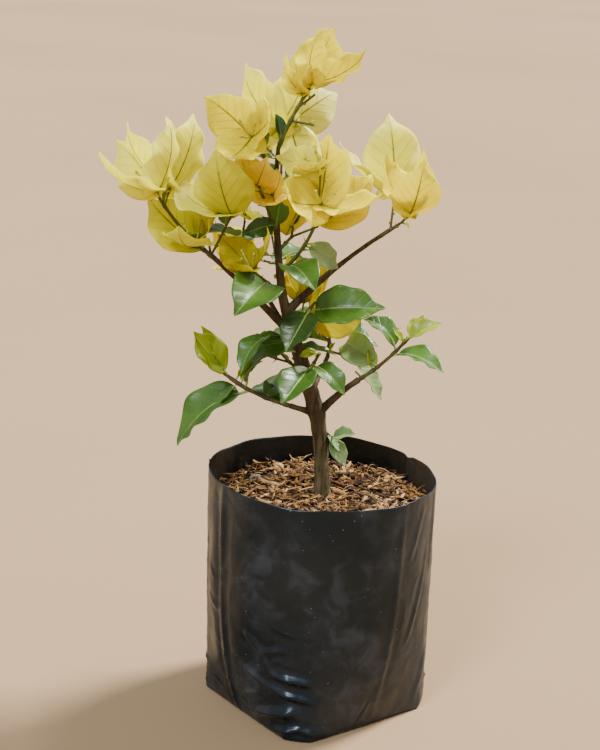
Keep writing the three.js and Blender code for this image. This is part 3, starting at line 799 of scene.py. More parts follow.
def addBloom(crown, row, base, roll):
    rule = bloomRule
    bearing, rise, length = row["stalk"]
    heart = base + heading(bearing, rise) * length
    axis = heading(*row["axis"])
    side = sideways(row["axis"][0])
    up = side.cross(axis)
    if length > 0:
        away = (heart - base).normalized()
        stalk = [base - away * rule["stalkSunk"], base.lerp(heart, 0.3), base.lerp(heart, 0.7), heart,
                 heart + axis * rule["stalkOver"]]
        addRod(crown.twigs, stalk, rule["stalk"], rule["stalkSides"], twigTints.index("stalk"))
    opening = math.radians(row["open"] + rule["cup"] / 2)
    tile = math.radians(rule["tile"])
    for k in range(3):
        turn = math.radians(row["turn"] + 120 * k)
        out = side * math.cos(turn) + up * math.sin(turn)
        ahead = axis * math.cos(opening) + out * math.sin(opening)
        face = axis * math.sin(opening) - out * math.cos(opening)
        # Each bract leans over its neighbour, like a roof tile
        face = face * math.cos(tile) - ahead.cross(face) * math.sin(tile)
        root = heart + out * rule["inset"] - ahead * rule["sunk"]
        if k not in row["skip"]:
            blade = {"length": row["size"], "kind": "bract", "droop": -rule["cup"],
                     "twist": rule["twist"], "sway": rule["sway"]}
            tint = row["inner"] if k == 1 else row["tint"]
            curve = addBlade(crown.bracts, root, ahead, face, blade, roll, bractTints.index(tint))
            addRib(crown, curve, "bract", ribRule["bractRadius"], "rib", ahead.cross(face))
        if row["size"] > rule["flowered"]:
            spot = heart + out * rule["flowerOut"] + axis * rule["flowerUp"]
            addFlower(crown, spot, axis * rule["flowerAxis"] + out * rule["flowerLean"], row["size"], roll)


# The true flower: a slim tube with a swollen end, now and then open as a small star
flowerRule = {
    "tube": {"radii": (0.35, 0.55, 0.6, 0.5, 0.85), "curl": 0.3, "sides": 7, "rows": 6},
    "tubeLength": (0.26, 0.1),
    "bud": {"length": 2.2, "radii": (0.85, 1.1, 0.15), "curl": 0, "sides": 7, "rows": 5}, "budSunk": 0.4,
    "petals": 5, "petal": {"length": 3.2, "kind": "small", "droop": 40, "twist": 0, "sway": 0},
    "petalLean": 0.5, "petalSunk": 0.2
}


def addFlower(crown, base, direction, size, roll):
    rule = flowerRule
    tube = {**rule["tube"], "length": size * varied(rule["tubeLength"], roll)}
    isOpen = roll() < crown.opened
    tip, ahead = addTaper(crown.blossom, blossomTints.index("tube"), base, direction, tube)
    if not isOpen:
        spot = tip - ahead * rule["budSunk"]
        addTaper(crown.blossom, blossomTints.index("bud"), spot, ahead, rule["bud"])
        return
    side = ahead.orthogonal().normalized()
    up = ahead.cross(side)
    for i in range(rule["petals"]):
        turn = math.radians(360 / rule["petals"] * i)
        out = side * math.cos(turn) + up * math.sin(turn)
        lean = (out + ahead * rule["petalLean"]).normalized()
        face = lean.cross(ahead).normalized().cross(lean)
        addBlade(crown.blossom, tip - ahead * rule["petalSunk"], lean, face, rule["petal"], roll,
                 blossomTints.index("star"), petalShape)


# What grows at the nodes of a twig: a bud, now and then a thorn, and the first tiny leaves
nodeRule = {
    "along": (0.4, 0.3), "near": 0.05, "root": 0.5, "tinyRoot": 0.6, "budLean": 0.9, "thornLean": 0.5,
    "bud": {"length": 1.9, "radii": (0.75, 0.85, 0.2), "curl": 0.2, "sides": 6, "rows": 4},
    "thorn": {"radii": (0.42, 0.25, 0.05), "curl": 0.1, "sides": 5, "rows": 4},
    "thornLength": (3.2, 2), "thorny": 0.45, "tinyLength": (4, 3.5), "tinyDroop": 15
}


def addNodes(crown, path, radii, roll, count, young):
    rule = nodeRule
    for i in range(count):
        along = (i + rule["along"][0] + rule["along"][1] * roll()) / count
        base = pointAlong(path, along)
        after, before = min(along + rule["near"], 1), max(along - rule["near"], 0)
        ahead = (pointAlong(path, after) - pointAlong(path, before)).normalized()
        across = ahead.orthogonal().normalized()
        turn = roll() * 2 * math.pi
        out = across * math.cos(turn) + ahead.cross(across) * math.sin(turn)
        radius = radii[0] + (radii[1] - radii[0]) * along
        root = out * radius * rule["root"]
        lean = out + ahead * rule["budLean"]
        addTaper(crown.twigs, twigTints.index("stalk"), base + root, lean, rule["bud"])
        if roll() < rule["thorny"]:
            thorn = {**rule["thorn"], "length": varied(rule["thornLength"], roll)}
            lean = ahead * rule["thornLean"] - out
            addTaper(crown.twigs, twigTints.index("thorn"), base - root, lean, thorn)
        if roll() < young:
            direction = (out + ahead).normalized()
            bearing = math.degrees(math.atan2(direction.y, direction.x))
            rise = math.degrees(math.asin(max(-1, min(1, direction.z))))
            tiny = leaf(0, 0, bearing, rise, varied(rule["tinyLength"], roll), rule["tinyDroop"], 0, "small")
            addLeaf(crown, tiny, base + out * radius * rule["tinyRoot"], roll)


# How many nodes are dressed, and how likely a tiny leaf is, on a stem and on a twig
dressRule = {"longStem": 25, "longNodes": 3, "shortNodes": 1, "stemYoung": 0.35,
             "longTwig": 11, "twigNodes": 2, "twigYoung": 0.25}


def growMass(crown, name, mass, seed):
    rule = dressRule
    limb = limbs[mass["limb"]]
    start = limb[-1] if mass["at"] == "tip" else pointAtHeight(limb, mass["at"])
    paths = [limbPath(start, mass["stem"])]
    twigs, leaves, blooms = (list(mass.get(kind, [])) for kind in ("twigs", "leaves", "blooms"))
    if "sprays" in mass:
        more = sprayRows(mass["stem"], 1 + len(twigs), mass)
        twigs, leaves, blooms = twigs + more[0], leaves + more[1], blooms + more[2]
    paths += [limbPath(pointAlong(paths[0], row["along"]), row) for row in twigs]
    roll = dice(seed)
    for i, path in enumerate(paths):
        nodes = [row["along"] for row in leaves + blooms if row["on"] == i]
        if i == 0:
            nodes += [row["along"] for row in twigs]
            addTwig(crown, path, "stem", nodes, "green" if mass["limb"] == "trunk" else "wood")
            count = rule["longNodes" if mass["stem"]["length"] > rule["longStem"] else "shortNodes"]
            addNodes(crown, path, twigRule["stem"]["radii"], roll, count, rule["stemYoung"])
        else:
            addTwig(crown, path, "twig", nodes, "green")
            if twigs[i - 1]["length"] > rule["longTwig"]:
                addNodes(crown, path, twigRule["twig"]["radii"], roll, rule["twigNodes"], rule["twigYoung"])
    for row in leaves:
        addLeaf(crown, row, pointAlong(paths[row["on"]], row["along"]), roll)
    for row in blooms:
        addBloom(crown, row, pointAlong(paths[row["on"]], row["along"]), roll)
    crown.nodes.append(name)


# Only at the back are some of the true flowers open
crowns = {group: Crown(0.25 if group == "back" else 0.0) for group in ("top", "left", "right", "low", "back")}
for number, (name, mass) in enumerate(masses.items()):
    growMass(crowns[mass["group"]], name, mass, 101 + 7 * number)
print("crown grown")


# Foliage materials
def toneRows(names, rows):
    return {tint: dict(zip(names, row)) for tint, row in rows.items()}


foliageTones = toneRows(("top", "deep", "vein", "under", "glow"), {
    "mid": ((80, 120, 38), (56, 94, 28), (116, 146, 74), (116, 146, 86), (134, 186, 16)),
    "deep": ((50, 84, 26), (34, 62, 20), (96, 130, 58), (92, 124, 64), (100, 146, 24)),
    "pale": ((150, 174, 116), (114, 144, 80), (182, 198, 148), (156, 178, 124), (170, 200, 90)),
    "lime": ((158, 172, 34), (128, 148, 20), (196, 204, 70), (168, 182, 62), (206, 220, 20))
})
# Bract tones. tip: partly the bract's own paler tip, partly a painted glow of light through it
bractTones = toneRows(("tip", "main", "deep", "vein", "glow"), {
    "lemon": ((255, 250, 70), (250, 234, 10), (216, 198, 3), (120, 118, 10), (255, 248, 8)),
    "cream": ((255, 254, 168), (255, 251, 104), (242, 232, 50), (160, 156, 40), (255, 254, 110)),
    "pale": ((255, 253, 188), (246, 243, 149), (231, 226, 118), (168, 168, 70), (252, 252, 160)),
    # gold: a darker copy of the yellow, painted shade for bracts that lie in shade
    "gold": ((240, 226, 40), (208, 198, 12), (184, 170, 6), (112, 100, 12), (238, 230, 8)),
    "amber": ((252, 236, 96), (244, 218, 66), (222, 190, 34), (150, 116, 20), (252, 236, 90)),
    # olive: a still darker copy of the yellow, painted shade for a bract deep in shade
    "olive": ((206, 196, 30), (182, 172, 14), (150, 140, 8), (84, 86, 10), (222, 210, 10)),
    "lime": ((246, 244, 96), (226, 220, 34), (186, 182, 10), (106, 118, 20), (246, 246, 40))
})


def veinMask(paint, pairs, slant, fine):
    # A midrib line and side veins, from the blade's own map: U across and V along, in lengths
    across, along, _ = paint.parts(paint.node("UVMap", {"uv_map": "UVMap"}))
    aside = abs(across - 0.5)
    rib = aside.ramp(0.004, 0.016, 1.0, 0.0)
    near = ((along - aside * slant) * pairs).maths("PINGPONG", 0.5)
    side = near.ramp(0.03, 0.11, 1.0, 0.0) * aside.ramp(0.16, 0.34, 1.0, 0.25)
    net = paint.node("TexVoronoi", {"feature": "DISTANCE_TO_EDGE"}, {"Vector": paint.place(), "Scale": fine})
    return {"rib": rib, "side": side, "net": net.ramp(0.02, 0.14, 0.35, 0.0), "along": along, "aside": aside}


def throughLight(paint, body, glow, share):
    # A blade lets light through, in a colour of its own
    behind = paint.node("BsdfTranslucent", None, {"Color": tone(*glow)})
    return paint.finish(paint.node("MixShader", None, {0: share, 1: body, 2: behind}))


def leafFinish(name, tones, upper):
    paint = Paint(name)
    veins = veinMask(paint, 6, 1.0, 900)
    rib, side = veins["rib"], veins["side"]
    cloud = paint.noise(70, 4).ramp(0.35, 0.68)
    grain = paint.noise(420, 3)
    vein, under = tone(*tones["vein"]), tones["under"]
    if upper:
        first, second = tone(*tones["top"]), tone(*tones["deep"])
        shown, height, specular = 0.16, 1 - side * 0.5 - rib, 0.55
        gloss = grain.ramp(0.3, 0.7, 0.30, 0.42)
    else:
        first, second = tone(*under), tone(*[int(c * 0.86) for c in under])
        shown, height, specular = 0.4, side * 0.8 + rib, 0.35
        gloss = grain.ramp(0.3, 0.7, 0.5, 0.62)
    colour = paint.mix(cloud * 0.8, first, second)
    colour = paint.mix(veins["net"] * 0.22, colour, vein)
    colour = paint.mix((rib * 0.8 + side * shown).clamped(), colour, vein)
    body = paint.surface(colour, gloss, specular, Normal=paint.bump(height + grain * 0.12, 0.35, 0.0006))
    return throughLight(paint, body, tones["glow"], 0.30 - rib * 0.2)


def bractFinish(name, tones):
    paint = Paint(name)
    veins = veinMask(paint, 6, 1.15, 650)
    rib, side, net, along = veins["rib"], veins["side"], veins["net"], veins["along"]
    cloud = paint.noise(55, 4).ramp(0.35, 0.7)
    grain = paint.noise(380, 3)
    # Deeper from its heart to past the middle, paler towards its tip and margin: partly the bract's own
    # colour, partly painted light, a painted glow of light through the tip and margin set against the deeper
    # heart
    low = along.ramp(0.0, 0.62, 0.85, 0.12)
    colour = paint.mix((low * 0.6 + cloud * 0.6).clamped(), tone(*tones["main"]), tone(*tones["deep"]))
    high = (along.ramp(0.45, 0.95, 0.0, 0.75) + veins["aside"].ramp(0.16, 0.36, 0.0, 0.55)).clamped()
    colour = paint.mix((high - cloud * 0.25).clamped(), colour, tone(*tones["tip"]))
    colour = paint.mix(net * 0.25, colour, tone(*tones["deep"]))
    # Its veins fade towards the tip
    lower = along.ramp(0.5, 0.95, 1.0, 0.2)
    lines = (rib * lower * 0.75 + side * lower * 0.30).clamped()
    colour = paint.mix(lines, colour, tone(*tones["vein"]))
    bump = paint.bump(side * 0.7 + rib + net * 0.6 + grain * 0.25, 0.4, 0.0006)
    body = paint.surface(colour, grain.ramp(0.3, 0.7, 0.48, 0.6), 0.12, Normal=bump)
    return throughLight(paint, body, tones["glow"], 0.50 - lines * 0.3)


def stemFinish(name, first, second):
    paint = Paint(name)
    stretch = (1, 1, 0.25)
    cloud = paint.noise(300, 4, stretch=stretch).ramp(0.3, 0.7)
    grain = paint.noise(1050, 3, stretch=stretch)
    bump = paint.bump(grain + cloud, 0.4, 0.0005)
    colour = paint.mix(cloud, tone(*first), tone(*second))
    return paint.finish(paint.surface(colour, grain.ramp(0.3, 0.7, 0.47, 0.65), 0.4, Normal=bump))


twigTones = {
    "wood": ((56, 48, 22), (84, 74, 36)), "green": ((60, 68, 20), (88, 90, 32)),
    "stalk": ((84, 92, 26), (112, 110, 36)), "rib": ((92, 98, 20), (118, 114, 28)),
    "leafRib": ((110, 138, 60), (138, 160, 84)), "thorn": ((96, 84, 44), (128, 112, 66))
}
blossomTones = {
    "tube": ((176, 176, 70), (198, 184, 84)), "bud": ((150, 152, 50), (188, 172, 62)),
    "star": ((250, 240, 196), (246, 226, 140))
}
leafFinishes = [leafFinish("leaf_" + tint, foliageTones[tint], True) for tint in leafTints]
leafFinishes += [leafFinish("underleaf_" + tint, foliageTones[tint], False) for tint in leafTints]
bractFinishes = [bractFinish("bract_" + tint, bractTones[tint]) for tint in bractTints]
twigFinishes = [stemFinish("twig_" + tint, *twigTones[tint]) for tint in twigTints]
blossomFinishes = [stemFinish("blossom_" + tint, *blossomTones[tint]) for tint in blossomTints]
bladeThick = {"leaf": 0.34, "bract": 0.24}


def weld(piece):
    # Closes the ends of the blades, where all columns of a sheet meet
    gap = 0.02 * metres
    bm = bmesh.new()
    bm.from_mesh(piece.data)
    bmesh.ops.remove_doubles(bm, verts=bm.verts, dist=gap)
    bmesh.ops.dissolve_degenerate(bm, edges=bm.edges, dist=gap / 4)
    bm.to_mesh(piece.data)
    bm.free()


def thicken(piece, thick, offset, under=0):
    # under: how many slots further on the finish of the new side is
    wall = piece.modifiers.new("wall", "SOLIDIFY")
    wall.thickness = thick * metres
    wall.offset = offset
    wall.material_offset = under
    wall.material_offset_rim = 0
    wall.use_quality_normals = True


for group, crown in crowns.items():
    crown.twigs.grow("twigs_" + group, twigFinishes, crown.nodes, "young_bark")
    leaves = crown.leaves.grow("leaves_" + group, leafFinishes, crown.nodes, "leaves")
    weld(leaves)
    thicken(leaves, bladeThick["leaf"], -1, len(leafTints))
    if crown.bracts.count:
        bracts = crown.bracts.grow("bracts_" + group, bractFinishes, crown.nodes, "bracts")
        weld(bracts)
        thicken(bracts, bladeThick["bract"], 0)
    if crown.blossom.count:
        crown.blossom.grow("blossom_" + group, blossomFinishes, crown.nodes, "bracts")
print("foliage dressed")


# Trunk and boughs, with the bark's relief
barkRule = {
    "trunkSides": 40, "trunkRows": 240, "boughSides": 20, "boughRows": 70, "boughRough": 0.5,
    "ridge": 0.34, "grain": 0.10, "crack": 0.16, "crackFrom": 0.55, "rough": (1.1, 0.6), "thin": 0.6,
    "flare": 1.9, "flareReach": 6.0, "flareLobes": (3, 40), "collar": 0.8, "collarReach": 5.0, "collarUp": 2,
    "ring": 0.05, "ringEvery": 0.9, "boughSwell": (1.5, 1.12, 1, 1.02, 1, 1.05)
}
# Scars and knobs on the trunk: height, bearing, how far they stand out, and their reach
trunkKnobs = [
    (162, 250, 0.9, 4.0), (170, 30, 0.6, 4.5), (186, 200, 0.8, 4.0), (199, 150, 1.0, 4.5),
    (199, 330, 0.9, 5.0), (222, 295, 0.8, 3.5), (236, 200, 0.7, 3.0), (252, 310, 0.6, 3.0),
    (276, 225, 0.6, 3.0), (290, 310, 0.5, 2.6), (304, 20, 0.5, 2.4), (318, 235, 0.5, 2.4),
    (331, 60, 0.4, 2.2), (349, 235, 0.5, 2.2), (365, 20, 0.6, 2.0)
]


def rodMesh(path, radiusAt, relief, sides, rows):
    bm = rolledShape(sides, rows)
    points = [pointAlong(path, i / rows) for i in range(rows + 1)]
    made = frames(points)
    for v in bm.verts:
        row = round(v.co.z * rows)
        side, up = (Vector(f) for f in made[row])
        out = side * v.co.x + up * v.co.y
        radius = radiusAt(row / rows)
        spot = points[row] + out * radius
        v.co = spot + out * relief(spot, out, row / rows)
    bm.normal_update()
    return bm


def barkGrain(spot, rough):
    rule = barkRule
    ridges = roughAt(*spot, 0.42, 0.07)
    cracks = max(0, ridgeAt(*spot, 0.9, 0.16, 9) - rule["crackFrom"])
    fine = noise.noise(spot * 1.9)
    return rough * (rule["ridge"] * ridges - rule["crack"] * cracks + rule["grain"] * fine)


def facing(bearing, other):
    return max(0, math.cos(math.radians(bearing - other)))


def trunkRelief(spot, out, share):
    rule = barkRule
    height = spot.z - trunkRule["foot"]
    bearing = math.degrees(math.atan2(out.y, out.x))
    count, turn = rule["flareLobes"]
    lobes = 0.6 + 0.4 * math.cos(math.radians(count * bearing + turn))
    relief = rule["flare"] * math.exp(-height / rule["flareReach"]) * lobes
    relief += barkGrain(spot, rule["rough"][0] - rule["rough"][1] * share)
    for at, knobBearing, size, reach in trunkKnobs:
        relief += size * bell(spot.z - at, reach) * facing(bearing, knobBearing) ** 3
    for row in boughRows.values():
        gap = spot.z - row["at"] - rule["collarUp"]
        relief += rule["collar"] * bell(gap, rule["collarReach"]) * facing(bearing, row["bearing"]) ** 2
    rings = math.sin(spot.z * rule["ringEvery"] + 2 * noise.noise(spot * 0.12))
    return (relief + rule["ring"] * rings) * (1 - rule["thin"] * share)


def listRadius(radii):
    places = [i / (len(radii) - 1) for i in range(len(radii))]
    return lambda share: float(np.interp(share, places, radii))


# Bark tones from the foot upwards, and the heights in metres where one gives way to the next
barkTones = {
    "foot": ((47, 37, 20), (106, 92, 64), (80, 74, 38)), "middle": ((38, 27, 14), (76, 60, 38), (98, 88, 58)),
    "upper": ((44, 42, 16), (80, 76, 32)), "toMiddle": (0.176, 0.206), "toUpper": (0.285, 0.345)
}


def barkFinish():
    # Grey-tan at the foot, purple-brown above the fork and olive towards the tip
    paint = Paint("bark")
    height = paint.parts(paint.node("TexCoord", out=3))[2]
    streak = paint.noise(420, 5, stretch=(1, 1, 0.14), distortion=0.6).ramp(0.32, 0.68)
    patch = paint.noise(95, 4).ramp(0.4, 0.62)
    grain = paint.noise(1300, 3, stretch=(1, 1, 0.4))
    tones = {name: [tone(*c) for c in barkTones[name]] for name in ("foot", "middle", "upper")}
    foot, middle, upper = (paint.mix(streak, tones[name][0], tones[name][1]) for name in tones)
    foot = paint.mix(patch * 0.5, foot, tones["foot"][2])
    middle = paint.mix(patch * 0.35, middle, tones["middle"][2])
    colour = paint.mix(height.ramp(*barkTones["toMiddle"]), foot, middle)
    colour = paint.mix(height.ramp(*barkTones["toUpper"]), colour, upper)
    bump = paint.bump(streak * 0.7 + grain, 0.55, 0.0008)
    return paint.finish(paint.surface(colour, grain.ramp(0.3, 0.7, 0.62, 0.85), 0.3, Normal=bump))


bark = barkFinish()
trunkFoot = [Vector((0, 0, trunkRule["foot"] + 0.1))] + trunk[1:]
trunkBark = rodMesh(trunkFoot, listRadius(trunkRule["radii"]), trunkRelief,
                    barkRule["trunkSides"], barkRule["trunkRows"])
meshOf("trunk_bark", trunkBark, [bark], ["trunk"], "bark")


def boughRelief(spot, out, share):
    return barkGrain(spot, barkRule["boughRough"])


for name, row in boughRows.items():
    first, last = row["radii"]
    ends = [first, first, first, last, last, last]
    swell = [radius * more for radius, more in zip(ends, barkRule["boughSwell"])]
    swell.insert(3, (first + last) / 2)
    body = rodMesh(limbs[name], listRadius(swell), boughRelief, barkRule["boughSides"], barkRule["boughRows"])
    meshOf("bark_" + name, body, [bark], ["bough_" + name], "bark")
print("bark made")

# Bag: a film, round at its rim and square at its foot, with gusset folds and creases
# turn, corner, tip and side shape the square foot. drop and dropPower let the rim sag towards the right.
# degree: the length of a degree of bearing on the wall. rimWaves: how many, how high and how far turned.
# rimNicks: bearing, depth and half width.
bagRule = {
    "height": 160, "rim": 75, "foot": 74, "turn": -8, "reach": 90, "drop": 5, "dropPower": 8,
    "around": 340, "up": 122, "base": 7, "round": 7, "edge": 3.0, "film": 0.5, "crumple": 0.55,
    "corner": 1.0, "tip": 1.06, "side": 0.83, "front": 262, "degree": 1.31,
    "rimWaves": [(3, 0.7, 1), (7, 0.4, 2), (13, 0.25, 0)], "rimNicks": [(38, 1.3, 2.6), (178, -1.6, 2.5)]
}
# Folds: bearing and height at each end, how far they stand out, and their half width
bagFolds = [
    (213, 158, 212, 96, 1.5, 4.5), (212, 96, 213, 24, 1.2, 4.0), (213, 24, 216, 2, 1.4, 4.0),
    (206, 150, 207, 30, -1.2, 6.0), (178, 160, 176, 20, 0.9, 3.0), (190, 120, 186, 60, 0.7, 3.0),
    (197, 100, 203, 92, 0.9, 2.6), (196, 78, 208, 70, 0.8, 3.0), (314, 158, 311, 92, 0.6, 4.0),
    (311, 92, 305, 6, 0.6, 4.0), (330, 150, 320, 118, 0.8, 3.6), (338, 118, 322, 58, 0.9, 3.2),
    (346, 156, 344, 100, 0.8, 3.0), (344, 44, 336, 8, 1.0, 3.4), (300, 22, 293, 3, -1.2, 2.0),
    (231, 67, 241, 56, 1.8, 3.2), (241, 56, 252, 61, 1.7, 3.0), (247, 43, 268, 40, 2.8, 3.8),
    (230, 41, 240, 34, 2.2, 3.4), (240, 34, 272, 27, 2.4, 3.2), (235, 10, 259, 20, 3.8, 4.8),
    (249, 4, 262, 9, 2.4, 3.0), (262, 9, 278, 4, 2.2, 3.0), (226, 20, 238, 25, 1.6, 3.0),
    (222, 14, 236, 6, 1.2, 2.2), (274, 32, 290, 27, 0.8, 2.6), (246, 76, 262, 71, 0.9, 3.4),
    (38, 160, 36, 40, -1.8, 4.0), (46, 158, 44, 60, 0.9, 3.0), (140, 158, 142, 40, -1.3, 4.0),
    (132, 150, 133, 60, 0.8, 3.0), (60, 40, 84, 16, 1.1, 3.2), (96, 34, 120, 12, 1.0, 3.2),
    (70, 16, 100, 7, 1.0, 2.6), (20, 60, 4, 24, 0.8, 3.2), (100, 120, 118, 84, 0.6, 3.4),
    (80, 90, 96, 66, 0.6, 3.4), (10, 130, -4, 96, 0.7, 3.2), (150, 60, 166, 26, 0.9, 3.2),
    (350, 20, 6, 9, 1.0, 2.6), (180, 26, 200, 12, 1.2, 2.4), (160, 14, 186, 6, 0.9, 2.4)
]


def bagRadius(bearing, height):
    # The plain bag: round at its rim, a rounded square at its foot
    rule = bagRule
    straight = rule["foot"] + (rule["rim"] - rule["foot"]) * height / rule["height"]
    low = clamp(1 - height / rule["reach"]) ** 2
    aside = (bearing - rule["turn"]) % 90 - 45
    corner = rule["tip" if abs(apart(bearing, rule["front"])) < 45 else "corner"]
    square = min(corner, rule["side"] / math.cos(math.radians(aside)))
    return straight * (1 + (square - 1) * low)


def foldRelief(bearing, height):
    relief = 0
    for b1, z1, b2, z2, size, half in bagFolds:
        x, y = apart(bearing, b1) * bagRule["degree"], height - z1
        dx, dy = apart(b2, b1) * bagRule["degree"], z2 - z1
        share = (x * dx + y * dy) / (dx * dx + dy * dy)
        if not -0.25 < share < 1.25:
            continue
        away = math.hypot(x - dx * clamp(share), y - dy * clamp(share))
        if away < half * 2.2:
            taper = math.sin(math.pi * clamp((share + 0.12) / 1.24)) ** 0.6
            crest = max(0, 1 - away / half) ** 1.3 - 0.25 * bell(away - half * 1.3, half)
            relief += size * taper * crest
    return relief


def crumple(bearing, height):
    spot = (*polar(bagRule["rim"], bearing), height)
    wide = roughAt(*spot, 0.028, 0.012, 3)
    soft = roughAt(*spot, 0.07, 0.03, 7)
    sharp = max(0, ridgeAt(*spot, 0.05, 0.05, 20) - 0.62)
    small = max(0, ridgeAt(*spot, 0.12, 0.10, 40) - 0.6)
    low = 0.6 + 0.9 * math.exp(-height / 30)
    return bagRule["crumple"] * (1.3 * wide + 0.7 * soft + (sharp * 1.6 + small * 0.5) * low)


def wallRelief(bearing, height):
    return foldRelief(bearing, height) + crumple(bearing, height)


def rimDrop(bearing, height):
    rule = bagRule
    b = math.radians(bearing)
    drop = rule["drop"] * (0.5 + 0.5 * math.cos(b))
    drop += sum(size * math.sin(count * b + phase) for count, size, phase in rule["rimWaves"])
    drop += sum(size * bell(apart(bearing, at), reach) for at, size, reach in rule["rimNicks"])
    return drop * (height / rule["height"]) ** rule["dropPower"]


def bagProfile():
    # Rows from the middle of the underside out to the edge, round it, and up the wall
    rule = bagRule
    rows = [(i / rule["base"], 0.0, False) for i in range(rule["base"])]
    for i in range(rule["round"] + 1):
        turn = math.pi / 2 * i / rule["round"]
        inset = rule["edge"] * (1 - math.sin(turn)) / rule["foot"]
        rows.append((1 - inset, rule["edge"] * (1 - math.cos(turn)), True))
    for i in range(1, rule["up"] + 1):
        rows.append((1.0, rule["edge"] + (rule["height"] - rule["edge"]) * i / rule["up"], True))
    return rows


def makeBag():
    profile = bagProfile()
    last = len(profile) - 1
    bm = sheetShape(bagRule["around"], last)
    for v in bm.verts:
        share, height, isWall = profile[round((v.co.y + 1) / 2 * last)]
        bearing = (v.co.x + 1) * 180
        radius = bagRadius(bearing, height) * share
        if isWall:
            radius += wallRelief(bearing, height) * min(1, 0.25 + height / 8)
            z = height - rimDrop(bearing, height)
        else:
            z = 0.25 + 0.25 * roughAt(*polar(share, bearing), 0, 2, 0, 5) if share > 0 else 0.2
        v.co = (*polar(radius, bearing), z)
    bmesh.ops.remove_doubles(bm, verts=bm.verts, dist=0.002)
    bmesh.ops.recalc_face_normals(bm, faces=bm.faces)
    return bm


# Tones of the film, of the browner band at each side, and of the haze, dust and grit on both. The band at
# each side is a painted reflection of the floor where the film is seen edge-on.
bagTones = {
    # The inside tones: the inner face of the same black film, painted lighter and browner as painted light on
    # the inner wall
    "film": ((11, 18, 24), (26, 31, 35)), "film_inside_painted_light": ((40, 38, 32), (60, 52, 40)),
    "haze": (62, 68, 78), "dust": (98, 92, 86), "grit": (140, 142, 144), "sheen": (0.70, 0.86, 1.0, 1.0)
}


def bagFinish(name):
    # Black film with a soft haze, patches of dust and fine specks of grit, and a lighter band at its left and
    # right flanks that is a painted reflection of the floor
    paint = Paint(name)
    main, side = bagTones[name]
    film = paint.noise(45, 5, distortion=0.8)
    haze = paint.noise(60, 6, distortion=0.6).ramp(0.40, 0.72)
    dust = paint.noise(18, 5).ramp(0.36, 0.66)
    grit = paint.node("TexVoronoi", None, {"Vector": paint.place(), "Scale": 230, "Randomness": 1.0})
    speck = grit.ramp(0.04, 0.12, 1.0, 0.0) * paint.noise(90, 2).ramp(0.52, 0.62)
    across, _, height = paint.parts(paint.node("TexCoord", out=3))
    # The left and right flanks as seen from the front: a painted reflection, lighter and a little rougher
    aside = abs(across + 0.004).ramp(0.052, 0.076)
    low = height.ramp(0.0, 0.05, 1.0, 0.25)
    colour = paint.mix(aside, tone(*main), tone(*side))
    colour = paint.mix(haze * dust * 0.5, colour, tone(*bagTones["haze"]))
    colour = paint.mix((dust * low * 0.2).clamped(), colour, tone(*bagTones["dust"]))
    colour = paint.mix(speck * 0.6, colour, tone(*bagTones["grit"]))
    rough = film.ramp(0.3, 0.7, 0.20, 0.36) + haze * dust * 0.16 + speck * 0.2 + aside * 0.12
    bump = paint.bump(film + paint.noise(260, 4, stretch=(1, 1, 0.5)) * 0.25, 0.3, 0.0010)
    tint = {"Specular Tint": bagTones["sheen"]}
    return paint.finish(paint.surface(colour, rough, 0.28, Normal=bump, **tint))


# The second finish is the inner face of the film, painted lighter as painted light
bagFinishes = [bagFinish("film"), bagFinish("film_inside_painted_light")]
bag = meshOf("bag_film", makeBag(), bagFinishes, ["bag"], "bag")
thicken(bag, bagRule["film"], -1, 1)
print("bag made")

# Soil: a loose bed of coir with shreds, fibres and a few odd bits lying on it
soilRule = {
    "level": 140, "rings": 48, "around": 144, "wall": 1.6, "relief": 1.6, "depth": 14, "bedTop": 0.92,
    "bedDrop": 1.2, "heap": ([0, 9, 30, 55, 74], [0.2, 0.2, 2.5, 1.0, -1.0]), "tilt": (-0.5, 1),
    "tiltRise": 1.2, "lumpsFrom": 12, "tiltFrom": 25, "shreds": 1500, "fibres": 300, "seed": 77,
    "stem": 6.5, "reach": 71, "shredLength": 4.5, "shredMore": 12, "fibre": (0.45, 0.4), "oddUp": 1.6
}


def soilHeight(x, y):
    # A low heap round the stem, with lumps, that rises a little to the left and to the back
    rule = soilRule
    away = math.hypot(x, y)
    heap = float(np.interp(away, *rule["heap"]))
    lumps = roughAt(x, y, 0, 0.06, seed=2) * 2.0 + roughAt(x, y, 0, 0.15, seed=5) * 1.8
    tilt = (x * rule["tilt"][0] + y * rule["tilt"][1]) / bagRule["rim"] * rule["tiltRise"]
    lumps *= min(1, away / rule["lumpsFrom"])
    return rule["level"] + heap + lumps + tilt * min(1, away / rule["tiltFrom"])


def soilEdge(bearing):
    # How far out the soil reaches, just inside the film
    return bagRadius(bearing, soilRule["level"]) + wallRelief(bearing, soilRule["level"])


def makeBed():
    rule = soilRule
    bm = sheetShape(rule["around"], rule["rings"])
    for v in bm.verts:
        share, bearing = (v.co.y + 1) / 2, (v.co.x + 1) * 180
        top = min(1, share / rule["bedTop"])
        x, y = polar((soilEdge(bearing) - rule["wall"]) * top, bearing)
        rough = 0.9 * roughAt(x, y, 0, 0.5, seed=1) + 0.5 * roughAt(x, y, 0, 1.1, seed=4)
        z = soilHeight(x, y) - rule["bedDrop"] + rough * rule["relief"] * min(1, top * 6)
        if share > rule["bedTop"]:
            z -= rule["depth"] * (share - rule["bedTop"]) / (1 - rule["bedTop"])
        v.co = (x, y, z)
    bmesh.ops.remove_doubles(bm, verts=bm.verts, dist=0.002)
    bmesh.ops.holes_fill(bm, edges=[e for e in bm.edges if e.is_boundary], sides=0)
    bmesh.ops.recalc_face_normals(bm, faces=bm.faces)
    return bm


